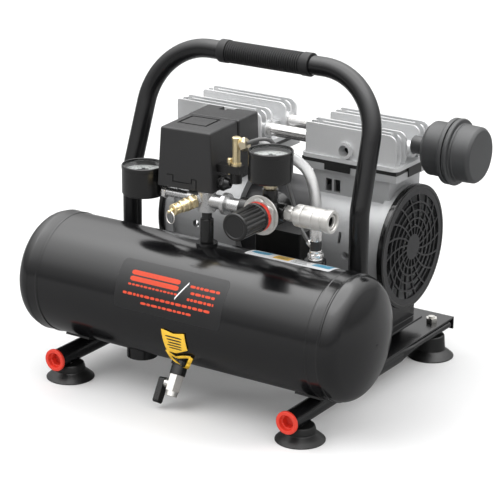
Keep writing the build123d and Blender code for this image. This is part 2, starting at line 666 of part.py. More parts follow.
with BuildPart() as pipe_fittings:
    rod(place(check_x, check_y, check_top + 23), Z, ferrule_radius, 16)
    rod(place(check_x, check_y, check_top + 22), Z, 3, 18, mode=Mode.SUBTRACT)
    rod(pump(-port_x, -head_half_depth + 6, port_z - crank_z), -Y, 6.9, 12)
    hexagon(pump(-port_x, -head_half_depth - 2.1, port_z - crank_z), -Y, 17, 6)
    rod(pump(-port_x, -head_half_depth - 5, port_z - crank_z), -Y, 7, 17.5)
    rod(hose_top, hose_start_heading, ferrule_radius, 17.9)
    hexagon(place(manifold_left - 0.1, 0, manifold_z), -X, 14, 6)
    rod(place(manifold_left + 10, 0, manifold_z), -X, arm_bore, 12)
    rod(place(manifold_left - 5, 0, manifold_z), -X, 4, 8)
    hexagon(outlet_gauge_base - Z * 9.9, Z, 14, 9.8)
    rod(outlet_gauge_base - Z * 18, Z, 4.9, 9)
    hexagon(tube_route[0] - tube_heading * 10, tube_heading, 14, 9)
    rod(tube_route[0] - tube_heading * 12, tube_heading, 3.4, 12)
    rod(unloader_spot + Z * 290, Z, 5.4, 60, mode=Mode.SUBTRACT)
    rod(tank_gauge_base - Z, Z, gauge_radius + 0.02, 40, mode=Mode.SUBTRACT)
save(pipe_fittings, "pipe_fittings")

# ---------------------------------------------------------------- pump: what turns
eccentric_x, eccentric_radius, shaft_radius = 97.0, 15.2, 7.0
with BuildPart() as crankshaft:
    rod(pump(-152, 0, 0), X, shaft_radius, 304)
    for side in (-1, 1):
        rod(pump(side * (eccentric_x - 8), 0, side * crank_throw), X * side, eccentric_radius, 16)
        rod(pump(side * (eccentric_x - 19), 0, -side * 14), X * side, 17, 9)
save(crankshaft, "crankshaft")

rotor_half, stator_bore, stator_radius = 30.0, 31.0, 58.0
with BuildPart() as rotor:
    tube(pump(-rotor_half, 0, 0), X, stator_bore - moving_gap, shaft_radius, 2 * rotor_half)
save(rotor, "rotor")

with BuildPart() as fans:
    for side in (-1, 1):
        rod(pump(side * 134, 0, 0), X * side, 13, 14)
        rod(pump(side * 133, 0, 0), X * side, shaft_radius, 16, mode=Mode.SUBTRACT)
        for blade in range(9):
            angle = radians(40 * blade)
            outward = Vector(0, cos(angle), sin(angle))
            pitch = (X * side + outward.cross(X * side) * 0.9).normalized()
            with BuildSketch(Plane(pump(side * 141, 0, 0) + outward * 12, x_dir=pitch,
                                   z_dir=outward)) as blade_root:
                Rectangle(16, 2)
            extrude(blade_root.sketch, amount=49)
save(fans, "fans")


def connecting_rod(side, name):
    """A rod with its piston: the big end runs on the eccentric of its own side."""
    pin = pump(side * eccentric_x, 0, side * crank_throw)
    with BuildPart() as link:
        rod(pin - X * 7, X, 20, 14)
        block(pin + Vector(-5, -7, 15), pin + Vector(5, 7, 80))
        turn(pin, Z, [(79, 0), (79, 19), (84, piston_radius), (91, piston_radius), (91, 0)])
        rod(pin - X * 8, X, eccentric_radius + running_gap, 16, mode=Mode.SUBTRACT)
    save(link, name)
    return link


rod_left = connecting_rod(-1, "rod_left")
rod_right = connecting_rod(1, "rod_right")

# ---------------------------------------------------------------- pump: motor and castings
with BuildPart() as stator:
    tube(pump(-rotor_half, 0, 0), X, stator_radius + 0.5, stator_bore, 2 * rotor_half)
    tube(pump(-43, 0, 0), X, 54, 36, 86)
    tube(pump(-50.9, 0, 0), X, stator_radius + 3, stator_radius, 101.8)
save(stator, "stator")


def pump_block(side, dx, dy, z, mode=Mode.ADD):
    """A block of the castings, given for the right side and mirrored to the left."""
    ends = sorted((side * dx[0], side * dx[1]))
    block(pump(ends[0], dy[0], z[0] - crank_z), pump(ends[1], dy[1], z[1] - crank_z), mode=mode)


drum_from, drum_to, drum_radius, drum_wall = 51.0, 149.0, 72.0, 4.0
flange_radius, flange_end = 76.0, 156.8
bearing_radius = 14.0
with BuildPart() as crankcases:
    for side in (-1, 1):
        out = X * side
        rod(pump(side * drum_from, 0, 0), out, drum_radius, drum_to - drum_from)
        rod(pump(side * (drum_to - 5), 0, 0), out, flange_radius, flange_end - drum_to + 5)
        pump_block(side, (drum_from, 149.8), (-38, 38), (205, 258))
        pump_block(side, (42, 56), (-38, 38), (228, 258))
        pump_block(side, (deck_inner, deck_outer), (-deck_half_depth, deck_half_depth), (257, deck_z))
        rod(pump(side * (drum_from + drum_wall), 0, 0), out, drum_radius - drum_wall, 104,
            mode=Mode.SUBTRACT)
        pump_block(side, (55, 146), (-34, 34), (209, 258), mode=Mode.SUBTRACT)
        pump_block(side, (46, 56), (-34, 34), (232, 258), mode=Mode.SUBTRACT)
        rod(pump(side * drum_from, 0, 0), out, 20, 15)
        rod(pump(side * (drum_from - 1), 0, 0), out, bearing_radius + 0.02, 18, mode=Mode.SUBTRACT)
        rod(pump(side * eccentric_x, 0, 80), Z, bore_radius + 3.05, 30, mode=Mode.SUBTRACT)
        for window_x in (60, 72):
            pump_block(side, (window_x, window_x + 9), (-44, -30), (230, 246), mode=Mode.SUBTRACT)
        for slot_x, slot_z in ((88, 177), (46, 175)):
            pump_block(side, (slot_x + 10, slot_x + 14), (-76, -60), (slot_z, slot_z + 14),
                       mode=Mode.SUBTRACT)
        rod(pump(side * 110, -60, 163.6 - crank_z), -Y, 5, 20, mode=Mode.SUBTRACT)
    for spot in head_bolt_spots:
        rod(spot - Z * 14, Z, 2.5, 20, mode=Mode.SUBTRACT)
save(crankcases, "crankcases")

with BuildPart() as main_bearings:
    for side in (-1, 1):
        tube(pump(side * (drum_from + 2), 0, 0), X * side, bearing_radius, shaft_radius + running_gap, 11)
save(main_bearings, "main_bearings")

with BuildPart() as cylinder_liners:
    for side in (-1, 1):
        tube(pump(side * eccentric_x, 0, 206 - crank_z), Z, bore_radius + 3, bore_radius, deck_z - 206.05)
save(cylinder_liners, "cylinder_liners")

with BuildPart() as valve_plates:
    for side in (-1, 1):
        pump_block(side, (deck_inner + 0.5, deck_outer - 0.5),
                   (-deck_half_depth - 0.2, deck_half_depth + 0.2), (deck_z, head_base_z))
        pump_block(side, (62, 98), (-deck_half_depth - 1.8, -deck_half_depth - 0.1),
                   (259, head_base_z))
        pump_block(side, (deck_outer + 0.1, deck_outer + 1.5), (-16, 16), (259, deck_z + 4))
        pump_block(side, (deck_outer - 1, deck_outer + 1.5), (-16, 16), (deck_z + 0.5, head_base_z))
        for port_dy in (-12, 12):
            rod(pump(side * eccentric_x, port_dy, deck_z - crank_z - 1), Z, 4, 10, mode=Mode.SUBTRACT)
    for spot in head_bolt_spots:
        rod(spot - Z, Z, 2.5, 10, mode=Mode.SUBTRACT)
save(valve_plates, "valve_plates")

fin_offsets = (17.0, 29.0, 41.0)
fin_inner, fin_outer, fin_width, fin_foot_z = 33.0, 159.0, 3.0, 275.0
tube_spots = (-24.0, 26.0)
tube_z, transfer_radius, transfer_bore = 290.5, 8.0, 6.6
with BuildPart() as cylinder_heads:
    for side in (-1, 1):
        base_middle = pump(side * (head_inner + head_outer) / 2, 0, head_base_z - crank_z)
        with BuildSketch(Plane(base_middle)) as base:
            RectangleRounded(head_outer - head_inner, 2 * head_half_depth, 9)
        extrude(base.sketch, amount=5)
        pump_block(side, (42, 152), (-41, 41), (head_base_z + 4, 291))
        for group in (-1, 1):
            for offset_y in fin_offsets:
                back_face = pump(side * (fin_inner + fin_outer) / 2, group * offset_y + fin_width / 2,
                                 (fin_foot_z + head_top_z) / 2 - crank_z)
                with BuildSketch(Plane(back_face, x_dir=X, z_dir=-Y)) as fin:
                    Rectangle(fin_outer - fin_inner, head_top_z - fin_foot_z)
                    fillet(fin.vertices().group_by(Axis.Y)[-1].sort_by(Axis.X)[-1], 10)
                    fillet(fin.vertices().group_by(Axis.Y)[-1].sort_by(Axis.X)[0], 3)
                extrude(fin.sketch, amount=fin_width)
        for spot_y in tube_spots:
            rod(pump(side * (fin_inner - 1), spot_y, tube_z - crank_z), X * side, 11, 17)
        rod(pump(side * port_x, -34, port_z - crank_z), -Y, 10.6, 12.5)
    rod(pump(148, 0, 290 - crank_z), X, 10, 13)
    for side in (-1, 1):
        pump_block(side, (46, 148), (-32, 32), (head_base_z - 1, 286), mode=Mode.SUBTRACT)
        rod(pump(side * port_x, -30, port_z - crank_z), -Y, 7, 20, mode=Mode.SUBTRACT)
        for spot_y in tube_spots:
            rod(pump(side * (fin_inner - 5), spot_y, tube_z - crank_z), X * side,
                transfer_radius + running_gap, 20, mode=Mode.SUBTRACT)
    rod(pump(152, 0, 290 - crank_z), X, 6, 15, mode=Mode.SUBTRACT)
    for spot in head_bolt_spots:
        rod(spot, Z, 2.5, 12, mode=Mode.SUBTRACT)
        rod(spot + Z * 10, Z, 4.5, 60, mode=Mode.SUBTRACT)
save(cylinder_heads, "cylinder_heads")

with BuildPart() as transfer_tubes:
    for spot_y in tube_spots:
        tube(pump(-46, spot_y, tube_z - crank_z), X, transfer_radius, transfer_bore, 92)
save(transfer_tubes, "transfer_tubes")

# ---------------------------------------------------------------- air filter
filter_start = pump(182.7, 0, filter_z - crank_z)
filter_radius, filter_rim, rim_from, rim_split, rim_to = 33.0, 40.8, 28.0, 34.7, 41.5
neck_z = 290.0 - crank_z
with BuildPart() as air_filter_base:
    turn(filter_start, X,
         [(0, 5), (0, filter_radius - 5), (5, filter_radius), (rim_from, filter_radius),
          (rim_from + 0.5, filter_rim), (rim_split, filter_rim), (rim_split, filter_radius - 2.5),
          (3, filter_radius - 2.5), (3, 5)])
    tube(pump(153, 0, neck_z), X, 5.95, 4, 31)
    tube(pump(161.5, 0, neck_z), X, 11, 5.95, 22)
save(air_filter_base, "air_filter_base")

with BuildPart() as air_filter_cover:
    turn(filter_start, X,
         [(rim_split + 0.1, filter_radius), (rim_split + 0.1, filter_rim), (rim_to, filter_rim),
          (42.3, 35.4),
          (64.5, 34.2), (68.4, 31), (68.4, 0), (65.4, 0), (65.4, 29), (62.5, 31.6)])
save(air_filter_cover, "air_filter_cover")

with BuildPart() as air_filter_element:
    tube(filter_start + X * 4, X, 29, 15, 58)
save(air_filter_element, "air_filter_element")

# ---------------------------------------------------------------- guards, feet of the pump
spoke_count, hub_disc = 18, 16.0
with BuildSketch() as spoke:
    with BuildLine():
        leading = ThreePointArc((15, -1), (43, 7), (66.5, 27))
        trailing = ThreePointArc((15, 1), (42, 9), (65.5, 29))
        Line(leading @ 0, trailing @ 0)
        Line(leading @ 1, trailing @ 1)
    make_face()
with BuildPart() as fan_guards:
    for side in (-1, 1):
        tube(pump(side * guard_back, 0, 0), X * side, guard_radius, guard_radius - 3,
             guard_face - guard_back)
        face_plane = Plane(pump(side * (guard_face - 3), 0, 0), x_dir=Y * side, z_dir=X * side)
        with BuildSketch(face_plane) as grille:
            Circle(guard_radius)
            Circle(66, mode=Mode.SUBTRACT)
            Circle(hub_disc)
            for ring in (26, 36, 46, 56):
                with BuildSketch(mode=Mode.PRIVATE) as hoop:
                    Circle(ring + 1)
                    Circle(ring - 1, mode=Mode.SUBTRACT)
                add(hoop.sketch)
            with PolarLocations(0, spoke_count):
                add(spoke.sketch)
        extrude(grille.sketch, amount=3)
save(fan_guards, "fan_guards")

foot_z = plate_z + plate_thickness + mount_height
with BuildPart() as pump_brackets:
    for side in (-1, 1):
        pump_block(side, (108, 158), (-44, 44), (foot_z, foot_z + 3))
        pump_block(side, (140, 148), (-40, 40), (foot_z, 110))
        rod(pump(side * 100, 0, 0), X * side, drum_radius + 0.02, 44, mode=Mode.SUBTRACT)
        rod(pump(side * (drum_to - 5.02), 0, 0), X * side, flange_radius + 0.02, 20, mode=Mode.SUBTRACT)
    for spot in mount_spots:
        rod(spot, Z, 3.2, 30, mode=Mode.SUBTRACT)
save(pump_brackets, "pump_brackets")

with BuildPart() as pump_mounts:
    for spot in mount_spots:
        turn(spot, Z, [(0, 3.1), (0, 12), (3, 12), (6, 10.5), (9, 12), (mount_height, 12),
                       (mount_height, 3.1)])
save(pump_mounts, "pump_mounts")

with BuildPart() as capacitor_box:
    block(place(4, 110, 156), place(70, 152, 189))
    fillet(capacitor_box.edges().filter_by(Axis.Z).group_by(Axis.Y)[0], 3)
    rod(pump(-60, 0, 0), X, stator_radius + 3, 120, mode=Mode.SUBTRACT)
    rod(pump(drum_from - 0.5, 0, 0), X, drum_radius + 0.5, 40, mode=Mode.SUBTRACT)
save(capacitor_box, "capacitor_box")
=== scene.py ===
"""Looks of a portable air compressor: soft studio, camera, materials and the finely made pieces
that stand for plain CAD nodes.  Metres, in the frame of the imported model.
"""
import json
import math
import random

import bmesh
import bpy
from mathutils import Matrix, Vector


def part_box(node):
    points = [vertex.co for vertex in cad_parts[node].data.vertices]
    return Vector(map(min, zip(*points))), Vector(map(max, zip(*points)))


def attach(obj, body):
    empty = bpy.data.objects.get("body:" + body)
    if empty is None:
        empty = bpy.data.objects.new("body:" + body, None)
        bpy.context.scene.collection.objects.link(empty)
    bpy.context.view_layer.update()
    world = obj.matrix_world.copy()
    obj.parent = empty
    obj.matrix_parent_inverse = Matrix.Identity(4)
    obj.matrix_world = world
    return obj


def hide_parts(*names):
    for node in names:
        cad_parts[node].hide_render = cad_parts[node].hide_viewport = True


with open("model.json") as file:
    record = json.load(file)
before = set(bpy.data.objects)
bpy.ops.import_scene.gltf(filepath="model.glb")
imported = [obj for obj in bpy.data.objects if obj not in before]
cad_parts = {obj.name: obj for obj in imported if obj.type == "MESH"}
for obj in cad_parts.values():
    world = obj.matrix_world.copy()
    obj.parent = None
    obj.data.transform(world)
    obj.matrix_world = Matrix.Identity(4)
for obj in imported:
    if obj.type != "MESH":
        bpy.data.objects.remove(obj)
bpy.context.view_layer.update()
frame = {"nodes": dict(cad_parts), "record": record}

random.seed(7)
MM = 0.001
X, Y, Z = Vector((1, 0, 0)), Vector((0, 1, 0)), Vector((0, 0, 1))


# ---------------------------------------------------------------- where things are
def low(node):
    return Vector(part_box(node)[0])


def high(node):
    return Vector(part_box(node)[1])


def middle(node):
    return (low(node) + high(node)) / 2


# ---------------------------------------------------------------- materials
def links(tree, *pairs):
    for source, target in pairs:
        tree.links.new(source, target)


def finish_material(name, color, rough, metal=0.0, grain=400.0, bump=0.05, spread=0.12, vary=0.15,
                    spec=0.5, brush=None):
    """A shader with fine grain, uneven roughness and slight colour variation.

    grain is the noise scale per metre, bump its height in the shader's own strength, spread the
    change in roughness, vary the change in colour, brush an axis along which the grain is drawn out.
    """
    made = bpy.data.materials.new(name)
    made.use_nodes = True
    tree = made.node_tree
    shader = tree.nodes["Principled BSDF"]
    shader.inputs["Metallic"].default_value = metal
    shader.inputs["Specular IOR Level"].default_value = spec
    place = tree.nodes.new("ShaderNodeTexCoord")
    stretch = tree.nodes.new("ShaderNodeMapping")
    if brush is not None:
        stretch.inputs["Scale"].default_value = [0.04 if index == brush else 1.0 for index in range(3)]
    fine = tree.nodes.new("ShaderNodeTexNoise")
    fine.inputs["Scale"].default_value = grain
    fine.inputs["Detail"].default_value = 6
    broad = tree.nodes.new("ShaderNodeTexNoise")
    broad.inputs["Scale"].default_value = 14
    broad.inputs["Detail"].default_value = 4
    links(tree, (place.outputs["Object"], stretch.inputs["Vector"]),
          (stretch.outputs["Vector"], fine.inputs["Vector"]),
          (place.outputs["Object"], broad.inputs["Vector"]))
    tone = tree.nodes.new("ShaderNodeValToRGB")
    darker = [max(channel * (1 - vary), 0) for channel in color]
    lighter = [min(channel * (1 + vary), 1) for channel in color]
    tone.color_ramp.elements[0].position = 0.3
    tone.color_ramp.elements[1].position = 0.7
    tone.color_ramp.elements[0].color = (*darker, 1)
    tone.color_ramp.elements[1].color = (*lighter, 1)
    uneven = tree.nodes.new("ShaderNodeMapRange")
    uneven.inputs["From Min"].default_value = 0.3
    uneven.inputs["From Max"].default_value = 0.7
    uneven.inputs["To Min"].default_value = max(rough - spread / 2, 0.03)
    uneven.inputs["To Max"].default_value = min(rough + spread / 2, 1)
    blend = tree.nodes.new("ShaderNodeMix")
    blend.inputs["Factor"].default_value = 0.5
    links(tree, (fine.outputs["Fac"], blend.inputs["A"]), (broad.outputs["Fac"], blend.inputs["B"]),
          (blend.outputs["Result"], tone.inputs["Fac"]),
          (blend.outputs["Result"], uneven.inputs["Value"]),
          (uneven.outputs["Result"], shader.inputs["Roughness"]),
          (tone.outputs["Color"], shader.inputs["Base Color"]))
    relief = tree.nodes.new("ShaderNodeBump")
    relief.inputs["Strength"].default_value = bump
    relief.inputs["Distance"].default_value = 0.0006
    links(tree, (fine.outputs["Fac"], relief.inputs["Height"]),
          (relief.outputs["Normal"], shader.inputs["Normal"]))
    return made


LOOKS = {
    "tank_paint": finish_material("gloss_black", (0.005, 0.005, 0.0055), 0.17, grain=900, bump=0.03,
                                  spread=0.05, spec=0.5),
    "frame_paint": finish_material("satin_black", (0.005, 0.005, 0.0055), 0.24, grain=1500, bump=0.06,
                                   spread=0.08, spec=0.45),
    "foot_rubber": finish_material("moulded_rubber", (0.007, 0.007, 0.007), 0.42, grain=1200, bump=0.12,
                                   spread=0.15, spec=0.35),
    "grip_rubber": finish_material("grip_rubber", (0.012, 0.012, 0.0125), 0.5, grain=2200, bump=0.15,
                                   spread=0.12, spec=0.35),
    "red_plastic": finish_material("red_plastic", (0.62, 0.04, 0.022), 0.38, grain=900, bump=0.05,
                                   spec=0.35),
    "zinc_steel": finish_material("zinc_steel", (0.58, 0.57, 0.54), 0.3, metal=1.0, grain=700, bump=0.08),
    "cover_plastic": finish_material("switch_plastic", (0.019, 0.019, 0.0195), 0.46, grain=3200, bump=0.3,
                                     spread=0.08, spec=0.4),
    "black_plastic": finish_material("black_plastic", (0.008, 0.008, 0.008), 0.3, grain=1800, bump=0.12,
                                     spec=0.45),
    "brass": finish_material("brass", (0.74, 0.62, 0.38), 0.3, metal=0.8, grain=800, bump=0.06),
    "nickel": finish_material("nickel", (0.7, 0.69, 0.66), 0.3, metal=0.85, grain=700, bump=0.05),
    "cast_zinc": finish_material("cast_zinc", (0.5, 0.5, 0.5), 0.3, metal=0.9, grain=600, bump=0.25),
    "black_metal": finish_material("black_metal", (0.006, 0.006, 0.006), 0.22, grain=900, bump=0.05,
                                   spec=0.5),
    "dial_white": finish_material("dial_white", (0.82, 0.82, 0.8), 0.5, grain=500, bump=0.02, vary=0.02),
    "needle_black": finish_material("needle_black", (0.02, 0.02, 0.02), 0.4),
    "tube_grey": finish_material("tube_grey", (0.1, 0.1, 0.1), 0.35, grain=1200, bump=0.05),
    "motor_steel": finish_material("motor_steel", (0.02, 0.02, 0.022), 0.4, grain=500, bump=0.1),
    "cast_aluminium": finish_material("cast_aluminium", (0.66, 0.665, 0.67), 0.42, metal=0.45, grain=1500,
                                      bump=0.35, spread=0.12, vary=0.08),
    "liner_aluminium": finish_material("liner_aluminium", (0.5, 0.5, 0.52), 0.25, metal=1.0, brush=2),
    "grey_plastic": finish_material("grey_plastic", (0.03, 0.031, 0.032), 0.4, grain=2200, bump=0.2),
    "filter_foam": finish_material("filter_foam", (0.05, 0.05, 0.05), 0.9, grain=900, bump=0.8),
    "hose_braid": finish_material("hose_core", (0.03, 0.03, 0.03), 0.5, metal=0.3, grain=900, bump=0.3),
    "label_film": finish_material("label_film", (0.01, 0.01, 0.0105), 0.4, grain=900, bump=0.02, spec=0.4),
}


def glass_material():
    """Thin clear cover: light passes straight through, and a smeared gloss lies over it."""
    made = bpy.data.materials.new("gauge_glass")
    made.use_nodes = True
    tree = made.node_tree
    tree.nodes.remove(tree.nodes["Principled BSDF"])
    through = tree.nodes.new("ShaderNodeBsdfTransparent")
    through.inputs["Color"].default_value = (0.97, 0.98, 0.98, 1)
    gloss = tree.nodes.new("ShaderNodeBsdfGlossy")
    facing = tree.nodes.new("ShaderNodeLayerWeight")
    steep = tree.nodes.new("ShaderNodeMapRange")
    steep.inputs["From Min"].default_value = 0.3
    steep.inputs["To Min"].default_value = 0.03
    steep.inputs["To Max"].default_value = 0.22
    mixed = tree.nodes.new("ShaderNodeMixShader")
    smear = tree.nodes.new("ShaderNodeTexNoise")
    smear.inputs["Scale"].default_value = 60
    shade = tree.nodes.new("ShaderNodeMapRange")
    shade.inputs["To Min"].default_value = 0.02
    shade.inputs["To Max"].default_value = 0.1
    place = tree.nodes.new("ShaderNodeTexCoord")
    links(tree, (place.outputs["Object"], smear.inputs["Vector"]),
          (smear.outputs["Fac"], shade.inputs["Value"]),
          (shade.outputs["Result"], gloss.inputs["Roughness"]),
          (facing.outputs["Facing"], steep.inputs["Value"]),
          (steep.outputs["Result"], mixed.inputs["Fac"]),
          (through.outputs["BSDF"], mixed.inputs[1]),
          (gloss.outputs["BSDF"], mixed.inputs[2]),
          (mixed.outputs["Shader"], tree.nodes["Material Output"].inputs["Surface"]))
    return made


LOOKS["lens_clear"] = glass_material()


def shade(name, slot, color, rough, **grades):
    """A further look, kept with the others under its own name; slot is not used."""
    LOOKS[name] = finish_material(name, color, rough, **grades)


shade("guard_plastic", "grey_plastic", (0.013, 0.013, 0.014), 0.36, grain=2200, bump=0.15, spec=0.4)
shade("gloss_band", "grey_plastic", (0.005, 0.005, 0.005), 0.16, grain=1500, bump=0.03)
shade("case_aluminium", "cast_aluminium", (0.42, 0.425, 0.43), 0.42, metal=0.4, grain=1500, bump=0.35,
      vary=0.08)
shade("bright_zinc", "zinc_steel", (0.72, 0.71, 0.7), 0.22, metal=0.9, grain=900, bump=0.05)
shade("satin_nickel", "nickel", (0.52, 0.51, 0.49), 0.36, metal=0.6, grain=900, bump=0.08, spread=0.1)
shade("pale_brass", "brass", (0.66, 0.58, 0.42), 0.3, metal=0.9, grain=900, bump=0.06)
shade("braid_wire", "hose_braid", (0.4, 0.4, 0.4), 0.32, metal=0.8, grain=900, bump=0.1)
shade("band_black", "hose_braid", (0.015, 0.015, 0.015), 0.35, grain=1500, bump=0.1)
shade("dial_ink", "dial_white", (0.02, 0.02, 0.025), 0.5, grain=1200, bump=0.02)
shade("dial_red", "dial_white", (0.7, 0.03, 0.02), 0.5, grain=1200, bump=0.02)
shade("label_orange", "label_film", (0.66, 0.07, 0.03), 0.4, grain=1500, bump=0.02, spec=0.3)
shade("label_white", "label_film", (0.85, 0.86, 0.87), 0.3, grain=900, bump=0.02, vary=0.03)
shade("label_blue", "label_film", (0.05, 0.32, 0.5), 0.3, grain=900, bump=0.02)
shade("label_yellow", "label_film", (0.83, 0.5, 0.03), 0.45, grain=1200, bump=0.05)
shade("label_ink", "label_film", (0.02, 0.018, 0.015), 0.5, grain=1200, bump=0.02)

# ---------------------------------------------------------------- every CAD node gets its finish
for part in frame["record"]["subparts"]:
    node = frame["nodes"][part["node"]]
    node.data.materials.clear()
    node.data.materials.append(LOOKS[part["material_slot"]])


def rounded_edges(node, width):
    """Softened edges on a CAD node, by modifiers only: its own mesh stays as packed."""
    shown = frame["nodes"][node]
    shown.modifiers.new("weld", "WELD").merge_threshold = 0.00002
    edge = shown.modifiers.new("edge", "BEVEL")
    edge.width = width * MM
    edge.segments = 2
    edge.limit_method = "ANGLE"
    edge.angle_limit = math.radians(32)
    edge.miter_outer = "MITER_ARC"
    normals = shown.modifiers.new("normals", "WEIGHTED_NORMAL")
    normals.keep_sharp = False
    normals.weight = 80


for node, look in (("fan_guards", "guard_plastic"), ("transfer_tubes", "bright_zinc"),
                   ("crankcases", "case_aluminium")):
    frame["nodes"][node].data.materials[0] = LOOKS[look]

for node, width in (("cylinder_heads", 0.7), ("crankcases", 0.8), ("valve_plates", 0.5),
                    ("fan_guards", 0.5), ("capacitor_box", 1.2), ("bolts", 0.35),
                    ("drain_valve_body", 0.4), ("drain_lever", 1.4), ("base_plate", 0.5),
                    ("pump_brackets", 0.5), ("manifold", 0.8), ("regulator_body", 0.9),
                    ("switch_base", 0.8), ("cable_gland", 0.4), ("riser_pipe", 0.5),
                    ("unloader_pin", 0.3), ("drain_nipple", 0.5), ("tank_fittings", 0.8), ("fans", 0.3)):
    rounded_edges(node, width)


# ---------------------------------------------------------------- mesh tools
def across_of(axis):
    side = Z.cross(axis)
    return side.normalized() if side.length > 0.1 else X.copy()


def soften(outline, radius, closed=False, steps=3):
    """Round the corners of an outline of (along, radius) points."""
    result = []
    for index, point in enumerate(outline):
        here = Vector(point)
        if not closed and index in (0, len(outline) - 1):
            result.append(here)
            continue
        before, after = Vector(outline[index - 1]), Vector(outline[(index + 1) % len(outline)])
        cut = min(radius, (before - here).length * 0.45, (after - here).length * 0.45)
        start = here + (before - here).normalized() * cut
        end = here + (after - here).normalized() * cut
        for step in range(steps + 1):
            share = step / steps
            result.append(start * (1 - share) ** 2 + here * (2 * share * (1 - share)) + end * share**2)
    return result


def polar(mesh, base, axis, outline, shape=None, steps=72, closed=False):
    """Add a surface round an axis; shape(angle, radius, along) may change the radius (millimetres)."""
    first = across_of(axis)
    second = axis.cross(first)
    rings = []
    for along, radius in outline:
        centre = base + axis * along * MM
        if radius < 1e-6:
            rings.append([mesh.verts.new(centre)])
            continue
        ring = []
        for step in range(steps):
            angle = math.tau * step / steps
            reach = shape(angle, radius, along) if shape else radius
            ring.append(mesh.verts.new(
                centre + (first * math.cos(angle) + second * math.sin(angle)) * reach * MM))
        rings.append(ring)
    pairs = list(zip(rings, rings[1:])) + ([(rings[-1], rings[0])] if closed else [])
    for near, far in pairs:
        for step in range(steps):
            corners = [near[step % len(near)], near[(step + 1) % steps % len(near)],
                       far[(step + 1) % steps % len(far)], far[step % len(far)]]
            corners = list(dict.fromkeys(corners))
            if len(corners) > 2:
                mesh.faces.new(corners)


def turned(mesh, base, axis, outline, radius, shape=None, steps=72, closed=False, rounds=3):
    """Add a turned shape: an outline of (along, radius) points with its corners rounded by radius."""
    polar(mesh, base, axis, soften(outline, radius, closed, rounds), shape, steps, closed)


def nut(mesh, base, axis, flats, start, end, bore=0.0):
    """Add a hexagon with turned chamfers, between two stations along the axis."""
    corner = flats / 2 / math.cos(math.pi / 6)

    def hexagon(angle, radius, along):
        flat = flats / 2 / math.cos((angle + math.pi / 6) % (math.pi / 3) - math.pi / 6)
        return min(radius, flat)
    cut, rim = min(1.0, (end - start) / 4), flats / 2 - 0.3
    outline = [(start, rim), (start + cut, corner), (end - cut, corner), (end, rim)]
    if bore:
        polar(mesh, base, axis, outline + [(end, bore), (start, bore)], hexagon, closed=True)
    else:
        polar(mesh, base, axis, [(start, 0)] + outline + [(end, 0)], hexagon)


def placed(name, data, look, body="frame", stands_for=(), spot=(0, 0, 0)):
    """Make a mesh or a curve a named piece, with its look, that rides on a body."""
    data.materials.append(LOOKS[look])
    made = bpy.data.objects.new(name, data)
    bpy.context.scene.collection.objects.link(made)
    made.location = spot
    if stands_for:
        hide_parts(*stands_for)
    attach(made, body)
    return made


def piece(name, mesh, look, body="frame", stands_for=(), sharp=38):
    """Finish a built mesh and place it."""
    bmesh.ops.recalc_face_normals(mesh, faces=mesh.faces)
    data = bpy.data.meshes.new(name)
    mesh.to_mesh(data)
    mesh.free()
    data.shade_smooth()
    data.set_sharp_from_angle(angle=math.radians(sharp))
    return placed(name, data, look, body, stands_for)


def rounded_frustum(mesh, corners_low, corners_high, radius, segments):
    """Add a box given by two loops of four corners, with all its edges rounded but the lowest."""
    low_ring = [mesh.verts.new(corner) for corner in corners_low]
    high_ring = [mesh.verts.new(corner) for corner in corners_high]
    faces = [mesh.faces.new(low_ring[::-1]), mesh.faces.new(high_ring)]
    for index in range(4):
        after = (index + 1) % 4
        faces.append(mesh.faces.new((low_ring[index], low_ring[after], high_ring[after],
                                     high_ring[index])))
    edges = {edge for face in faces for edge in face.edges} - set(faces[0].edges)
    bmesh.ops.bevel(mesh, geom=list(edges), offset=radius * MM, segments=segments, profile=0.5,
                    affect="EDGES", clamp_overlap=True)


def cylinder_frame(node):
    """Centre, half length and radius of a node lying along X."""
    lowest, highest = low(node), high(node)
    return (lowest + highest) / 2, (highest.x - lowest.x) / 2 / MM, (highest.z - lowest.z) / 2 / MM


# ---------------------------------------------------------------- ribbed grip
def build_grip():
    centre, half, collar = cylinder_frame("handle_grip")
    ring_count, collar_length = 34, 11.0
    inner, valley, crest = collar - 2.7, collar - 2.3, collar - 0.7
    ribs_from, ribs_to = -half + collar_length, half - collar_length
    pitch = (ribs_to - ribs_from) / ring_count
    outline = [(-half, inner), (-half, collar), (ribs_from, collar), (ribs_from, valley)]
    for ring in range(ring_count):
        start = ribs_from + ring * pitch
        outline += [(start + 0.35 * pitch, valley), (start + 0.5 * pitch, crest),
                    (start + 0.85 * pitch, crest), (start + pitch, valley)]
    outline += [(ribs_to, valley), (ribs_to, collar), (half, collar), (half, inner)]
    mesh = bmesh.new()
    turned(mesh, centre, X, outline, 0.4, closed=True, steps=64)
    piece("grip", mesh, "grip_rubber", stands_for=["handle_grip"])


# ---------------------------------------------------------------- feet, caps
def build_feet():
    lowest, highest = low("suction_feet"), high("suction_feet")
    radius, front_top, rear_top = 30.0, 19.4, 29.2
    mesh = bmesh.new()
    for x in (lowest.x + radius * MM, highest.x - radius * MM):
        for y, top in ((lowest.y + radius * MM, front_top), (highest.y - radius * MM, rear_top)):
            outline = [(0.3, 0), (1.2, 27), (0, 28.5), (0, 29.8), (1.2, 29.9), (2.6, 28.2), (5.4, 25),
                       (8.2, 21.2), (9.6, 19.2), (10.6, 18.6), (11.6, 18.9), (14, 18.4), (top - 1.5, 17.4),
                       (top, 16.4), (top, 0)]
            turned(mesh, Vector((x, y, 0)), Z, outline, 0.8, steps=80)
    piece("feet", mesh, "foot_rubber", stands_for=["suction_feet"])


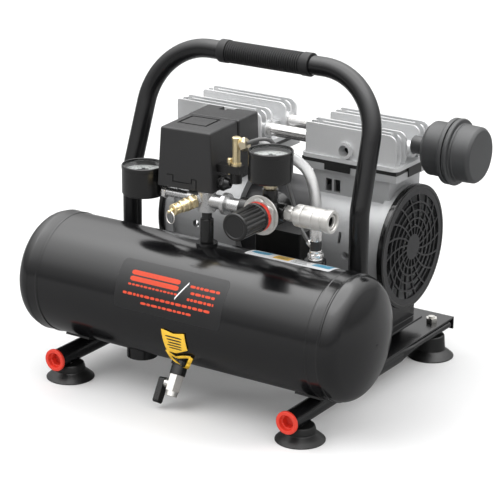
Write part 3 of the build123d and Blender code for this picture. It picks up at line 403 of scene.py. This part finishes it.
def build_rail_caps():
    lowest, highest = low("rail_end_caps"), high("rail_end_caps")
    radius = 14.2
    mesh = bmesh.new()
    outline = [(-14, 0), (-14, 10.2), (0, 10.2), (0, 14.1), (3, 14.1), (4, 13.2), (4, 9.6), (-1, 8.8),
               (-1, 7.4), (-9, 6.8), (-9, 0)]

    def lobes(angle, rim, along):
        return rim + (0.35 * math.cos(6 * angle) if rim < 8 else 0)
    for x in (lowest.x + radius * MM, highest.x - radius * MM):
        base = Vector((x, lowest.y + 4 * MM, (lowest.z + highest.z) / 2))
        turned(mesh, base, -Y, outline, 0.7, lobes)
    piece("rail_caps", mesh, "red_plastic", stands_for=["rail_end_caps"])


# ---------------------------------------------------------------- air filter
def build_filter():
    centre = middle("air_filter_base")
    depth, stem = 34.7, 21
    start = Vector((high("air_filter_base").x - depth * MM, centre.y, centre.z))
    mesh = bmesh.new()
    turned(mesh, start, X, [(0, 6), (0, 27.5), (5.5, 33), (27.5, 33), (28.4, 40.3), (34.4, 40.3),
                            (34.4, 31), (30, 30), (3, 29), (3, 6)], 1.8, closed=True, steps=128, rounds=5)
    turned(mesh, start - X * stem * MM, X, [(-1, 4), (-1, 11), (stem + 1, 11), (stem + 1, 4)], 1.2,
           closed=True, steps=64)
    piece("filter_base", mesh, "grey_plastic", stands_for=["air_filter_base"])
    mesh = bmesh.new()
    turned(mesh, start, X, [(35.4, 33), (35.4, 40.3), (39.6, 40.8), (41.5, 39.4), (41.7, 35.4), (44, 34.9),
                            (44.8, 35.3), (46.2, 35.2), (46.9, 34.6), (64.5, 34), (68.4, 30.6), (68.4, 0)],
           1.4, steps=128, rounds=5)
    piece("filter_cover", mesh, "grey_plastic", stands_for=["air_filter_cover"])


# ---------------------------------------------------------------- fan guard rims
def build_guard_bands():
    """Gloss band that runs round each fan guard's rim, a hair proud of it."""
    lowest, highest = low("fan_guards"), high("fan_guards")
    centre = (lowest + highest) / 2
    radius = (highest.z - lowest.z) / 2 / MM
    mesh = bmesh.new()
    outline = [(-7.4, radius - 1), (-7.4, radius + 0.15), (-1.2, radius + 0.15), (0.5, radius - 1.6),
               (0.5, radius - 4.6), (-0.6, radius - 5.4), (-2.5, radius - 5.4)]
    for x, out in ((highest.x, X), (lowest.x, -X)):
        turned(mesh, Vector((x, centre.y, centre.z)), out, outline, 0.8, closed=True, steps=144)
    piece("guard_bands", mesh, "gloss_band")


# ---------------------------------------------------------------- gauges
GAUGE_RIM, GAUGE_HEIGHT, DIAL_HEIGHT = 26.4, 37, 28.62


def gauge_bases():
    """The middle of each gauge's foot: the tank's gauge, then the outlet's, which stands higher."""
    lowest, highest = low("gauge_cases"), high("gauge_cases")
    y = (lowest.y + highest.y) / 2
    return (Vector((lowest.x + GAUGE_RIM * MM, y, lowest.z)),
            Vector((highest.x - GAUGE_RIM * MM, y, highest.z - GAUGE_HEIGHT * MM)))


def build_gauges():
    """Turned cases, printed ticks with a red zone at the end, and plain numbers."""
    cases, print_ink, print_red = bmesh.new(), bmesh.new(), bmesh.new()
    first, sweep = 225, 270
    ticks, red_from, numbers, circle = 61, 48, 7, 14 * MM
    for base in gauge_bases():
        turned(cases, base, Z, [(0, 0), (0, 24.2), (2, 26), (31.6, 26), (32.2, 26.35), (36, 26.35),
                                (37, 25.6), (37, 24.3), (35.2, 23.7), (35.05, 24.35), (28, 24.35),
                                (27.9, 0)], 0.7, steps=112, rounds=4)
        face = base + Z * DIAL_HEIGHT * MM
        for tick in range(ticks):
            angle = math.radians(first - sweep * tick / (ticks - 1))
            major = tick % 10 == 0
            outer, inner = 21.5, 17.6 if major else (18.8 if tick % 5 == 0 else 19.8)
            width = 0.35 if major else 0.16
            out = Vector((math.cos(angle), math.sin(angle), 0))
            side = Vector((-out.y, out.x, 0))
            bars = print_red if tick > red_from else print_ink
            corners = [face + (out * reach + side * offset) * MM for reach, offset in
                       ((inner, -width), (outer, -width), (outer, width), (inner, width))]
            rounded_frustum(bars, corners, [corner + Z * 0.06 * MM for corner in corners], 0.01, 1)
    piece("gauge_cases_turned", cases, "black_metal", stands_for=["gauge_cases"])
    piece("dial_ticks", print_ink, "dial_ink")
    piece("dial_red_zone", print_red, "dial_red")
    for gauge, base in enumerate(gauge_bases()):
        for index in range(numbers):
            angle = math.radians(first - sweep * index / (numbers - 1))
            words = bpy.data.curves.new(f"dial_number_{gauge}_{index}", "FONT")
            words.body = str(index * 2)
            words.size = 4.2 * MM
            words.align_x, words.align_y = "CENTER", "CENTER"
            words.extrude = 0.02 * MM
            spot = (base.x + circle * math.cos(angle), base.y + circle * math.sin(angle),
                    base.z + (DIAL_HEIGHT + 0.03) * MM)
            placed(words.name, words, "dial_ink", spot=spot)


# ---------------------------------------------------------------- regulator
def rear_face(node):
    """The middle of a node's rear face, and half the node's width in millimetres."""
    lowest, highest = low(node), high(node)
    spot = Vector(((lowest.x + highest.x) / 2, highest.y, (lowest.z + highest.z) / 2))
    return spot, (highest.x - lowest.x) / 2 / MM


def build_regulator():
    back, radius = rear_face("regulator_knob")
    length = (back.y - low("regulator_knob").y) / MM
    mesh = bmesh.new()

    def fluted(angle, rim, along):
        wave = abs(math.cos(8 * angle)) ** 0.9
        depth = 1.3 if 4.5 < along < length - 1.6 and rim > radius - 3 else 0.0
        return rim - depth * (1 - wave)
    outline = [(0, 9), (0, radius), (3.6, radius), (4.4, radius - 0.7), (length - 6, radius - 0.7),
               (length - 1.2, radius - 1.0), (length, radius - 2.4), (length, radius - 4.4),
               (length - 0.7, radius - 5), (length - 0.3, 0)]
    turned(mesh, back, -Y, outline, 0.7, fluted, steps=216)
    piece("knob", mesh, "black_plastic", body="regulator_knob", stands_for=["regulator_knob"], sharp=50)

    bore = 11.6
    spot, reach = rear_face("regulator_nut")
    mesh = bmesh.new()
    turned(mesh, spot, -Y, [(0, bore), (0, reach - 0.5), (0.5, reach), (1.7, reach), (2.2, reach - 0.6),
                            (2.2, bore)], 0.35, closed=True, steps=96)
    nut(mesh, spot, -Y, 38.5, 2.2, 6.3, bore)
    piece("bonnet_nut", mesh, "satin_nickel", stands_for=["regulator_nut"])

    spot, reach = rear_face("regulator_lock_ring")
    mesh = bmesh.new()

    def notched(angle, rim, along):
        return rim - (1.1 if rim > 14 and math.cos(12 * angle) > 0.35 and along > 1.2 else 0)
    turned(mesh, spot, -Y, [(0, bore), (0, reach), (3.4, reach), (4.1, reach - 0.8), (4.1, bore)], 0.4,
           notched, closed=True, steps=144)
    piece("lock_ring", mesh, "red_plastic", stands_for=["regulator_lock_ring"])


# ---------------------------------------------------------------- coupler
def build_coupler():
    lowest, highest = low("coupler_body"), high("coupler_body")
    centre = (lowest + highest) / 2
    length, bore = 60, 3.5
    start = Vector((highest.x - length * MM, centre.y, centre.z))
    mesh = bmesh.new()
    nut(mesh, start, X, 16.4, 0.1, 9.3, bore)
    turned(mesh, start, X, [(-10, bore), (-10, 4.9), (0, 4.9), (0, 7.6), (9.4, 7.6), (10, 9.1), (13.2, 9.1),
                            (14, 8.7), (length, 8.7), (length, 6.4), (length - 1.5, 6), (30, 6),
                            (30, bore)], 0.4, closed=True, steps=80)
    piece("coupler_core", mesh, "satin_nickel", stands_for=["coupler_body"])
    mesh = bmesh.new()
    turned(mesh, start, X, [(30.2, 3.6), (30.2, 5.9), (57.5, 5.9), (57.5, 5.3), (33, 5.3), (33, 3.6)], 0.3,
           closed=True, steps=64)
    piece("coupler_seal", mesh, "black_plastic")
    outline = [(14.1, 9.3), (14.1, 12.2), (15.2, 13.2), (23, 13.2), (23.6, 12.7), (24.8, 12.7), (25.4, 13.2),
               (38, 13.2), (38.5, 12.8), (39.5, 12.8), (40, 13.2), (49.6, 13.2), (50.4, 12.2), (53.6, 12.2),
               (54.2, 13.9), (61, 13.9), (62, 12.9), (62, 10.2), (61, 9.3)]

    def knurled(angle, rim, along):
        return rim - (0.28 * (1 + math.cos(40 * angle)) / 2 if 26 < along < 37.5 and rim > 13 else 0)
    mesh = bmesh.new()
    turned(mesh, start, X, outline, 0.45, knurled, closed=True, steps=240)
    piece("coupler_collar", mesh, "satin_nickel", body="coupler_sleeve", stands_for=["coupler_sleeve"])


# ---------------------------------------------------------------- safety valve
def joint_axis(name):
    joint = next(each for each in frame["record"]["behaviour"]["joints"] if each["name"] == name)
    return Vector(joint["axis"]).normalized()


def build_safety_valve():
    axis = joint_axis("safety_lift")
    ring_centre, ring_wire, seat_to_ring = middle("pull_ring"), 0.9, 39.5
    ring_top = Vector((ring_centre.x, ring_centre.y, high("pull_ring").z - ring_wire * MM))
    seat = ring_top - axis * seat_to_ring * MM
    mesh = bmesh.new()
    nut(mesh, seat, axis, 15.6, 3.2, 11)
    turned(mesh, seat, axis, [(11, 0), (11, 7.4), (12.4, 7.4), (12.4, 6.1), (13.6, 6.1), (13.6, 8.2),
                              (17, 8.2), (17.6, 7.5), (23.4, 7.5), (24.6, 6.2), (26.4, 6.2), (27, 6.9),
                              (29, 6.9), (29.6, 6.2), (33.5, 6.2), (34, 6.9), (35.6, 6.9), (36, 6),
                              (36, 2.2)], 0.35)
    lugs, lug_foot, lug_height, lug_half_width = across_of(axis), 29.6, 4.6, 1.3
    for turn in range(4):
        out = lugs * math.cos(turn * math.pi / 2) + axis.cross(lugs) * math.sin(turn * math.pi / 2)
        wide = axis.cross(out) * lug_half_width * MM
        corners = [seat + axis * lug_foot * MM + out * reach * MM + wide * way
                   for reach, way in ((5, -1), (7.3, -1), (7.3, 1), (5, 1))]
        rounded_frustum(mesh, corners, [corner + axis * lug_height * MM for corner in corners], 0.3, 2)
    piece("safety_body", mesh, "brass", stands_for=["safety_valve_body"])
    mesh = bmesh.new()
    turned(mesh, seat, axis, [(36.2, 0), (36.2, 2), (42.4, 2), (43, 1.5), (43, 0)], 0.3, steps=32)
    turned(mesh, seat, axis, [(37, 1.6), (37, 3.1), (38, 3.1), (38, 1.6)], 0.2, steps=32)
    piece("safety_pin", mesh, "brass", body="safety_stem", stands_for=["safety_valve_stem"])
    build_key_ring(ring_top, Z.cross(axis).normalized())


def build_key_ring(top, across):
    """A split ring of two turns that hangs from its top and lies along across."""
    forward = across.cross(Z)
    turns, steps, reach, wire, pitch = 2, 72, 7.6, 0.45, 0.9
    centre = top - Z * reach * MM
    mesh = bmesh.new()
    loops = []
    for step in range(turns * steps + 1):
        angle = math.tau * step / steps + math.pi / 2
        shift = (step / (turns * steps) - 0.5) * pitch
        out = across * math.cos(angle) + Z * math.sin(angle)
        loops.append([mesh.verts.new(centre + (forward * shift + out * reach) * MM
                      + (out * math.cos(turn) + forward * math.sin(turn)) * wire * MM)
                      for turn in (math.tau * side / 8 for side in range(8))])
    for near, far in zip(loops, loops[1:]):
        for side in range(8):
            mesh.faces.new((near[side], near[(side + 1) % 8], far[(side + 1) % 8], far[side]))
    mesh.faces.new(loops[0])
    mesh.faces.new(loops[-1])
    piece("key_ring", mesh, "nickel", body="pull_ring", stands_for=["pull_ring"])


# ---------------------------------------------------------------- hose and tube
def spline_points(route, spacing):
    """Points along the curve that a NURBS spline of order 3 with clamped ends makes of a route."""
    result = []
    for index in range(1, len(route) - 1):
        start = route[0] if index == 1 else (route[index - 1] + route[index]) / 2
        end = route[-1] if index == len(route) - 2 else (route[index] + route[index + 1]) / 2
        steps = max(2, round((end - start).length / spacing))
        for step in range(steps):
            share = step / steps
            result.append(start * (1 - share) ** 2 + route[index] * (2 * share * (1 - share))
                          + end * share**2)
    return result + [route[-1].copy()]


def line_piece(name, route, radius, look, node):
    """A smooth round tube along a route."""
    data = bpy.data.curves.new(name, "CURVE")
    data.dimensions = "3D"
    spline = data.splines.new("NURBS")
    spline.points.add(len(route) - 1)
    for spot, corner in zip(spline.points, route):
        spot.co = (*corner, 1)
    spline.order_u = 3
    spline.use_endpoint_u = True
    spline.resolution_u = 16
    data.bevel_depth = radius
    data.bevel_resolution = 6
    placed(name, data, look, stands_for=[node])


def build_braid(route, radius):
    """Woven wires round the hose: half wind left, half wind right, and they cross over and under."""
    path = spline_points(route, 1.0 * MM)
    heading = (path[1] - path[0]).normalized()
    side = across_of(heading)
    travelled = 0.0
    data = bpy.data.curves.new("hose_wires", "CURVE")
    data.dimensions = "3D"
    wires, pitch, swell = 12, 27 * MM, 0.22 * MM
    frames = []
    for index, spot in enumerate(path):
        after = path[min(index + 1, len(path) - 1)]
        before = path[max(index - 1, 0)]
        heading = (after - before).normalized()
        side = (side - heading * side.dot(heading)).normalized()
        if index:
            travelled += (spot - path[index - 1]).length
        frames.append((spot, side.copy(), heading.cross(side), travelled))
    for hand in (-1, 1):
        for wire in range(wires):
            spline = data.splines.new("POLY")
            spline.points.add(len(frames) - 1)
            for index, (spot, first, second, along) in enumerate(frames):
                angle = hand * math.tau * along / pitch + math.tau * wire / wires
                crossing = math.cos(math.tau * (along / pitch * wires + wire / 2))
                reach = radius + hand * swell * crossing
                spline.points[index].co = (
                    *(spot + (first * math.cos(angle) + second * math.sin(angle)) * reach), 1)
    data.bevel_depth = 0.58 * MM
    data.bevel_resolution = 1
    placed("hose_wires", data, "braid_wire")


hose_route = [Vector(spot) * MM for spot in (
    (-70.1, 32, 286.7), (-35, 30, 285), (5, 20, 283), (41, 2, 283), (73, -23, 285), (98, -47, 285),
    (120, -71, 277), (133, -85, 257), (133, -85, 232.9))]
manifold_line = Vector((0, middle("tank_shell").y, (low("regulator_nut").z + high("regulator_nut").z) / 2))
tank_place = Vector((-7, -116, 0))
tube_route = [(Vector(spot) + tank_place) * MM for spot in (
    (52, 20, 323), (68, 23, 331), (77, 34, 326), (81, 45, 306), (86, 49, 282), (96, 47, 257),
    (107, 43, 236), (118, 37, 220), (130, 32, 212.5))]


def build_fittings():
    """Ferrules, elbows and hexagons at the ends of the hose, the tube and the gauges."""
    foot = hose_route[-1]
    bright, black, brass = bmesh.new(), bmesh.new(), bmesh.new()
    ferrule, elbow_reach, elbow_drop, small_flats = 16 * MM, 18 * MM, 7 * MM, 14
    turned(bright, foot - Z * ferrule, Z, [(16, 4), (16, 7.2), (14.5, 7.5), (1.4, 7.5), (0.9, 6.4),
                                           (0.1, 6.4), (0.1, 0)], 0.3, steps=64)
    heading = (hose_route[1] - hose_route[0]).normalized()
    start = hose_route[0]
    turned(bright, start, heading, [(-1, 4), (-1, 7.5), (12, 7.5), (12.8, 6.9), (14, 6.9), (14.8, 7.4),
                                    (17.8, 7.4), (17.8, 4)], 0.4, steps=64)
    elbow = Vector((start.x - elbow_reach, start.y, start.z))
    turned(bright, elbow + Y * elbow_drop, -Y, [(-17, 0), (-17, 6.2), (-1, 6.2), (0, 7), (13, 7), (14, 6),
                                            (14, 0)], 0.5, steps=64)
    nut(bright, elbow, Y, 17, 7.2, 13.2)
    turned(bright, elbow, heading, [(0, 0), (0, 6.6), (17.6, 6.6), (17.6, 0)], 0.5, steps=64)
    nut(bright, Vector((low("manifold").x, manifold_line.y, manifold_line.z)), -X, small_flats, 0.1, 6.0)
    nut(brass, gauge_bases()[1], -Z, small_flats, 0.1, 9.8)
    tube_start, tube_heading = tube_route[0], (tube_route[1] - tube_route[0]).normalized()
    nut(brass, tube_start - tube_heading * 10 * MM, tube_heading, small_flats, 0.3, 9)
    piece("fittings", bright, "bright_zinc", stands_for=["pipe_fittings"])
    piece("brass_nuts", brass, "pale_brass")

    valve_top = foot - Z * ferrule
    height = (valve_top.z - low("check_valve_body").z) / MM
    collar = bmesh.new()
    turned(black, valve_top, -Z, [(0, 0), (0, 6.6), (11, 6.6), (11, 0)], 0.4, steps=64)
    turned(collar, valve_top, -Z, [(11, 0), (11, 7.6), (13.6, 7.6), (13.6, 6.2), (14.6, 6.2), (14.6, 0)],
           0.4, steps=64)
    nut(collar, valve_top, -Z, 16.5, 14.6, 20.5)
    turned(collar, valve_top, -Z, [(20.5, 0), (20.5, 8.6), (22.8, 8.9), (22.8, 4.9), (height, 4.9),
                                   (height, 0)], 0.6, steps=64)
    tube_end, tube_way = tube_route[-1], (tube_route[-1] - tube_route[-2]).normalized()
    turned(collar, tube_end, tube_way, [(-1, 2.5), (-1, 3.6), (2, 3.6), (2, 3), (5, 3), (5, 0)], 0.3,
           steps=40)
    piece("check_valve", collar, "bright_zinc", stands_for=["check_valve_body"])
    piece("check_valve_band", black, "band_black")


# ---------------------------------------------------------------- pressure switch cover
def build_switch_cover():
    """Two boxes in a row, turned a little about Z, with a dark joint between and grooves cut in."""
    centre, turn = middle("switch_cover"), math.radians(5)
    across = Vector((math.cos(turn), math.sin(turn), 0))
    inward = Vector((-math.sin(turn), math.cos(turn), 0))
    front = Vector((centre.x, centre.y, 0)) - inward * 60 * MM
    bottom, top = low("switch_cover").z, high("switch_cover").z

    def at(side, depth, z):
        return front + (across * side + inward * depth) * MM + Z * z

    def loop(half, near, far, z):
        return [at(-half, near, z), at(half, near, z), at(half, far, z), at(-half, far, z)]

    def block(side_from, side_to, depth_from, depth_to, z_from, z_to):
        """A plain box to cut with."""
        corners = ((side_from, depth_from), (side_to, depth_from), (side_to, depth_to),
                   (side_from, depth_to))
        cutter = bmesh.new()
        rounded_frustum(cutter, [at(side, depth, z_from) for side, depth in corners],
                        [at(side, depth, z_to) for side, depth in corners], 0.01, 1)
        return cutter
    mesh = bmesh.new()
    rounded_frustum(mesh, loop(37.5, 0, 68, bottom), loop(33.5, 1, 67.6, top), 2.6, 10)
    rear = bmesh.new()
    rounded_frustum(rear, loop(37, 69.2, 120, bottom), loop(34.5, 69.6, 119, top), 2.2, 10)
    neck = bmesh.new()
    rounded_frustum(neck, loop(33, 60, 76, bottom), loop(32, 60, 76, top - 1.6 * MM), 0.6, 2)
    made = piece("switch_box", mesh, "cover_plastic", stands_for=["switch_cover"])
    behind = piece("switch_box_rear", rear, "cover_plastic")
    piece("switch_box_joint", neck, "black_plastic")
    above, groove, notch = top + 2 * MM, 1.3 * MM, 5 * MM
    square = ((-25, 15, 26, 29), (-25, 15, 59, 62), (-25, -22, 26, 62), (12, 15, 26, 62))
    latch = ((-24, -15, 14.6, 16), (-16.4, -15, 7, 16), (-16.4, 10, 7, 8.4), (8.6, 10, 7, 14),
             (8.6, 16.4, 12.6, 14), (15, 16.4, -1, 14))
    notches = ((-12, -3, 103, 122), (-4, 6, 110, 122))
    carved(made, [block(*sides, top - groove, above) for sides in square]
           + [block(side_from, side_to, -2, 1.6, bottom + z_from * MM, bottom + z_to * MM)
              for side_from, side_to, z_from, z_to in latch])
    carved(behind, [block(*sides, top - notch, above) for sides in notches])
    pad = bmesh.new()
    foot_corners = ((-21.8, 29.2), (11.8, 29.2), (11.8, 58.8), (-21.8, 58.8))
    top_corners = ((-21.6, 29.4), (11.6, 29.4), (11.6, 58.6), (-21.6, 58.6))
    rounded_frustum(pad, [at(side, depth, top - 0.9 * MM) for side, depth in foot_corners],
                    [at(side, depth, top - 0.1 * MM) for side, depth in top_corners], 0.25, 2)
    piece("switch_pad", pad, "grey_plastic")


def carved(made, cutters):
    """Cut shapes out of a piece, then keep the result as its mesh."""
    tools = []
    for cutter in cutters:
        bmesh.ops.recalc_face_normals(cutter, faces=cutter.faces)
        data = bpy.data.meshes.new("tool")
        cutter.to_mesh(data)
        cutter.free()
        tool = bpy.data.objects.new("tool", data)
        bpy.context.scene.collection.objects.link(tool)
        tools.append(tool)
        cut = made.modifiers.new("cut", "BOOLEAN")
        cut.object = tool
        cut.operation = "DIFFERENCE"
        cut.solver = "EXACT"
    bpy.context.view_layer.update()
    shaped = bpy.data.meshes.new_from_object(made.evaluated_get(bpy.context.evaluated_depsgraph_get()))
    made.modifiers.clear()
    made.data = shaped
    for tool in tools:
        bpy.data.objects.remove(tool)
    made.data.shade_smooth()
    made.data.set_sharp_from_angle(angle=math.radians(5))


# ---------------------------------------------------------------- printed films on the tank
tank_centre, tank_half, tank_radius = cylinder_frame("tank_shell")
tank_degree = tank_radius * math.tau / 360      # millimetres round the tank for one degree


def on_tank(x, angle, lift):
    """A point over the tank: x from its middle and lift in millimetres, angle from +Y over the top."""
    reach = (tank_radius + lift) * MM
    return tank_centre + Vector((x * MM, reach * math.cos(math.radians(angle)),
                                 reach * math.sin(math.radians(angle))))


def film(mesh, x_from, x_to, edges, lift, columns=24, rows=16):
    """Add a sheet on the tank; edges(x) gives its first and last angle at x."""
    grid = []
    for column in range(columns + 1):
        x = x_from + (x_to - x_from) * column / columns
        first, last = edges(x)
        grid.append([mesh.verts.new(on_tank(x, first + (last - first) * row / rows, lift))
                     for row in range(rows + 1)])
    for near, far in zip(grid, grid[1:]):
        for row in range(rows):
            mesh.faces.new((near[row], far[row], far[row + 1], near[row + 1]))


def rounded_band(x_from, x_to, first, last, corner):
    """The edges of a sheet with rounded corners, as a function of x."""
    def edges(x):
        inset = corner - min(x - x_from, x_to - x, corner)
        cut = (corner - math.sqrt(max(corner**2 - inset**2, 0))) / tank_degree
        return first + cut, last - cut
    return edges


def rounded_film(mesh, x_from, x_to, first, last, corner, lift, columns=24, rows=16):
    """Add a sheet with rounded corners, from first to last degree round the tank."""
    film(mesh, x_from, x_to, rounded_band(x_from, x_to, first, last, corner), lift, columns, rows)


def build_seams():
    """The lapped skirt of each tank head: a bead where it ends on the shell, another at the dome."""
    lifts = ((-0.7, -0.3), (-0.3, 0.4), (0.5, 0.88), (2.2, 0.88), (3.2, 0.5), (15.2, 0.5), (16.0, 0.88),
             (17.8, 0.85), (18.8, -0.6))
    outline = [(along, tank_radius + lift) for along, lift in lifts]
    mesh = bmesh.new()
    for side in (-1, 1):
        turned(mesh, tank_centre + X * side * tank_half * MM, X * side, outline, 0.5, closed=True, steps=192)
    piece("seams", mesh, "tank_paint")


def build_front_label():
    """A dark label with two wide bars and rows of small ones, whose lengths are drawn at random."""
    paper, ink = 0.12, 0.2
    backing = bmesh.new()
    rounded_film(backing, -75, 77, 131, 178, 7, paper, columns=90, rows=36)
    piece("label_backing", backing, "label_film")
    words = bmesh.new()
    for first, last in ((141, 145.4), (146.8, 151.2)):
        rounded_film(words, -57, 12, first, last, 1.2, ink, columns=24, rows=4)
    rows = (((-58, 12), (153.6, 155.4), (3.2, 7.5), 1.1), ((27, 68), (143.2, 145.6), (3.6, 8), 1.1),
            ((30, 66), (149.2, 151.6), (3.6, 8), 1.1), ((27, 64), (155.2, 157.6), (3.2, 7.5), 1.1),
            ((-63, 62), (161.8, 164.2), (3.6, 9), 1.3), ((-36, 36), (168.3, 170.5), (3.6, 9), 1.2))
    for (row_from, row_to), (first, last), (shortest, longest), gap in rows:
        spot = row_from
        while spot < row_to - shortest / 2:
            end = min(spot + random.uniform(shortest, longest), row_to)
            rounded_film(words, spot, end, first, last, 0.5, ink, columns=4, rows=3)
            spot = end + gap
    piece("label_bars", words, "label_orange")

    def slant(x):
        line = 158.5 - (x - 10) * 1.18
        return line - 1.1, line + 1.1
    slash = bmesh.new()
    film(slash, 10, 24, slant, ink, columns=20, rows=2)
    piece("label_slash", slash, "label_white")


def build_top_label():
    """A white strip with blue and yellow patches and rows of plain bars."""
    paper, ink, over_patch = 0.12, 0.2, 0.26
    strip = bmesh.new()
    rounded_film(strip, 62, 178, 70, 92, 2, paper, columns=60, rows=20)
    piece("top_label", strip, "label_white")

    def wave(x):
        share = (x - 66) / 24
        return 75 + 1.4 * math.sin(share * math.tau), 83.5 + 1.8 * math.sin(share * math.pi)

    def drift(x):
        return 74 + 1.6 * math.cos((x - 150) / 7), 86
    patch = bmesh.new()
    film(patch, 66, 90, wave, ink)
    film(patch, 150, 174, drift, ink)
    piece("top_label_blue", patch, "label_blue")
    patch = bmesh.new()
    rounded_film(patch, 98, 120, 74, 88, 1.2, ink)
    piece("top_label_yellow", patch, "label_yellow")
    bars = bmesh.new()
    for row in range(3):
        rounded_film(bars, 101, 117, 76.5 + 3.6 * row, 78 + 3.6 * row, 0.5, over_patch, columns=4, rows=2)
    for row in range(5):
        band = rounded_band(124, 145, 73.5 + 3.4 * row, 74.6 + 3.4 * row, 0.3)
        film(bars, 124, 145 - 3 * (row % 2), band, ink, columns=4, rows=2)
    piece("top_label_ink", bars, "label_ink")


def build_tag():
    """A yellow paper tag that leans on the tank's front, its strap looped round the drain neck."""
    paper = bmesh.new()

    def lean(x):
        return (188.4 + 2.2 * max(0, 1 - abs(x - 12) / 14), 214.5 - max(0, x - 8) * 0.42)
    sheet, print_on = 1.4, 1.95
    film(paper, -5, 28, lean, sheet, columns=22, rows=18)
    strap = [(-5, 213, 1.6), (-3, 224, 3.5), (2, 238, 6.0), (8, 239, 6.5), (20, 226, 4.2), (30, 214.5, 2.4),
             (18, 217, 1.8), (4, 222, 2.2), (-5, 216, 1.7)]
    half_width = 2.4
    for start, end in zip(strap, strap[1:]):
        along = Vector((end[0] - start[0], (end[1] - start[1]) * tank_degree))
        normal = Vector((-along.y, along.x)).normalized() * half_width
        paper.faces.new([
            paper.verts.new(on_tank(x + way * normal.x, angle + way * normal.y / tank_degree, lift))
            for (x, angle, lift), way in ((start, 1), (end, 1), (end, -1), (start, -1))])
    made = piece("tag", paper, "label_yellow")
    body = made.modifiers.new("thickness", "SOLIDIFY")
    body.thickness = 0.35 * MM
    body.offset = 1
    ink = bmesh.new()
    for row in range(5):
        first = 193.5 + 3.3 * row
        rounded_film(ink, 1.2 * (row % 3), 23 - row, first, first + 1.5, 0.4, print_on, columns=6,
                     rows=2)
    piece("tag_bars", ink, "label_ink")


build_grip()
build_feet()
build_rail_caps()
build_filter()
build_guard_bands()
build_gauges()
build_regulator()
build_coupler()
build_safety_valve()
line_piece("hose_core", hose_route, 5.7 * MM, "hose_braid", "discharge_hose")
build_braid(hose_route, 5.9 * MM)
line_piece("grey_tube", tube_route, 2.4 * MM, "tube_grey", "unloader_tube")
build_fittings()
build_switch_cover()
build_seams()
build_front_label()
build_top_label()
build_tag()


# ---------------------------------------------------------------- studio
def soft_light(name, spot, aim, size, power):
    """A rectangular lamp that lights the object but isn't mirrored in it."""
    lamp = bpy.data.lights.new(name, "AREA")
    lamp.shape = "RECTANGLE"
    lamp.size, lamp.size_y = size
    lamp.energy = power
    holder = bpy.data.objects.new(name, lamp)
    bpy.context.scene.collection.objects.link(holder)
    holder.location = spot
    holder.rotation_euler = (Vector(aim) - Vector(spot)).to_track_quat("-Z", "Y").to_euler()
    holder.visible_glossy = False


def studio():
    """A white room whose mirrored image fades from a bright ceiling to a darker floor; the floor's own
    mirrored image is darkened too, a painted shade.
    """
    world = bpy.data.worlds.new("studio")
    bpy.context.scene.world = world
    world.use_nodes = True
    tree = world.node_tree
    backdrop = tree.nodes["Background"]
    backdrop.inputs["Strength"].default_value = 1.0
    ray = tree.nodes.new("ShaderNodeLightPath")
    heading = tree.nodes.new("ShaderNodeTexCoord")
    parts = tree.nodes.new("ShaderNodeSeparateXYZ")
    ceiling = tree.nodes.new("ShaderNodeValToRGB")
    stops = ceiling.color_ramp.elements
    glows = ((0.0, 0.3), (0.3, 0.85), (0.6, 2.4), (0.78, 3.7), (0.87, 6.0))
    for index, (height, glow) in enumerate(glows):
        stop = stops[index] if index < 2 else stops.new(height)
        stop.position = height
        stop.color = (glow, glow, glow, 1)
    seen = tree.nodes.new("ShaderNodeMix")
    seen.data_type = "RGBA"
    seen.inputs["A"].default_value = (1, 1, 1, 1)
    links(tree, (heading.outputs["Generated"], parts.inputs["Vector"]),
          (parts.outputs["Z"], ceiling.inputs["Fac"]),
          (ray.outputs["Is Glossy Ray"], seen.inputs["Factor"]),
          (ceiling.outputs["Color"], seen.inputs["B"]), (seen.outputs["Result"], backdrop.inputs["Color"]))
    soft_light("key", (-1.3, -1.5, 2.3), (0, 0, 0.2), (2.4, 2.0), 38)
    soft_light("rim", (1.9, 0.6, 1.2), (0, 0, 0.25), (0.7, 1.8), 16)
    bpy.context.scene.view_settings.view_transform = "Standard"
    bpy.ops.mesh.primitive_circle_add(vertices=128, radius=9, fill_type="NGON")
    floor = bpy.context.object
    floor.name = "floor"
    pale = finish_material("floor_white", (0.955, 0.955, 0.955), 0.6, grain=60, bump=0.0, vary=0.005,
                           spec=0.2)
    floor_tree = pale.node_tree
    shader = floor_tree.nodes["Principled BSDF"]
    tone = shader.inputs["Base Color"].links[0].from_socket
    path = floor_tree.nodes.new("ShaderNodeLightPath")
    # Painted shade: seen in reflections the floor turns a darker grey, standing for the shadow that falls
    # under the machine.
    reflected_floor_shade = floor_tree.nodes.new("ShaderNodeMix")
    reflected_floor_shade.data_type = "RGBA"
    reflected_floor_shade.inputs["B"].default_value = (0.3, 0.3, 0.3, 1)
    links(floor_tree, (path.outputs["Is Glossy Ray"], reflected_floor_shade.inputs["Factor"]), (tone, reflected_floor_shade.inputs["A"]),
          (reflected_floor_shade.outputs["Result"], shader.inputs["Base Color"]))
    floor.data.materials.append(pale)


def camera():
    """A long lens that looks slightly down on the front and the right side."""
    azimuth, elevation, roll = (math.radians(angle) for angle in (33.01, 18.75, 0.56))
    back = Vector((math.sin(azimuth) * math.cos(elevation), -math.cos(azimuth) * math.cos(elevation),
                   math.sin(elevation)))
    right = Vector((math.cos(azimuth), math.sin(azimuth), 0))
    up = back.cross(right)
    tilted_right = right * math.cos(roll) + up * math.sin(roll)
    tilted_up = up * math.cos(roll) - right * math.sin(roll)
    turn = Matrix((tilted_right, tilted_up, back)).transposed().to_4x4()
    lens = bpy.data.cameras.new("camera")
    lens.sensor_width = 36
    lens.lens = 144.1
    lens.shift_x = 0.0044
    place = Matrix.Translation((1.2647, -1.9721, 0.9592))
    holder = bpy.data.objects.new("camera", lens)
    bpy.context.scene.collection.objects.link(holder)
    holder.matrix_world = place @ turn
    bpy.context.scene.camera = holder


studio()
camera()
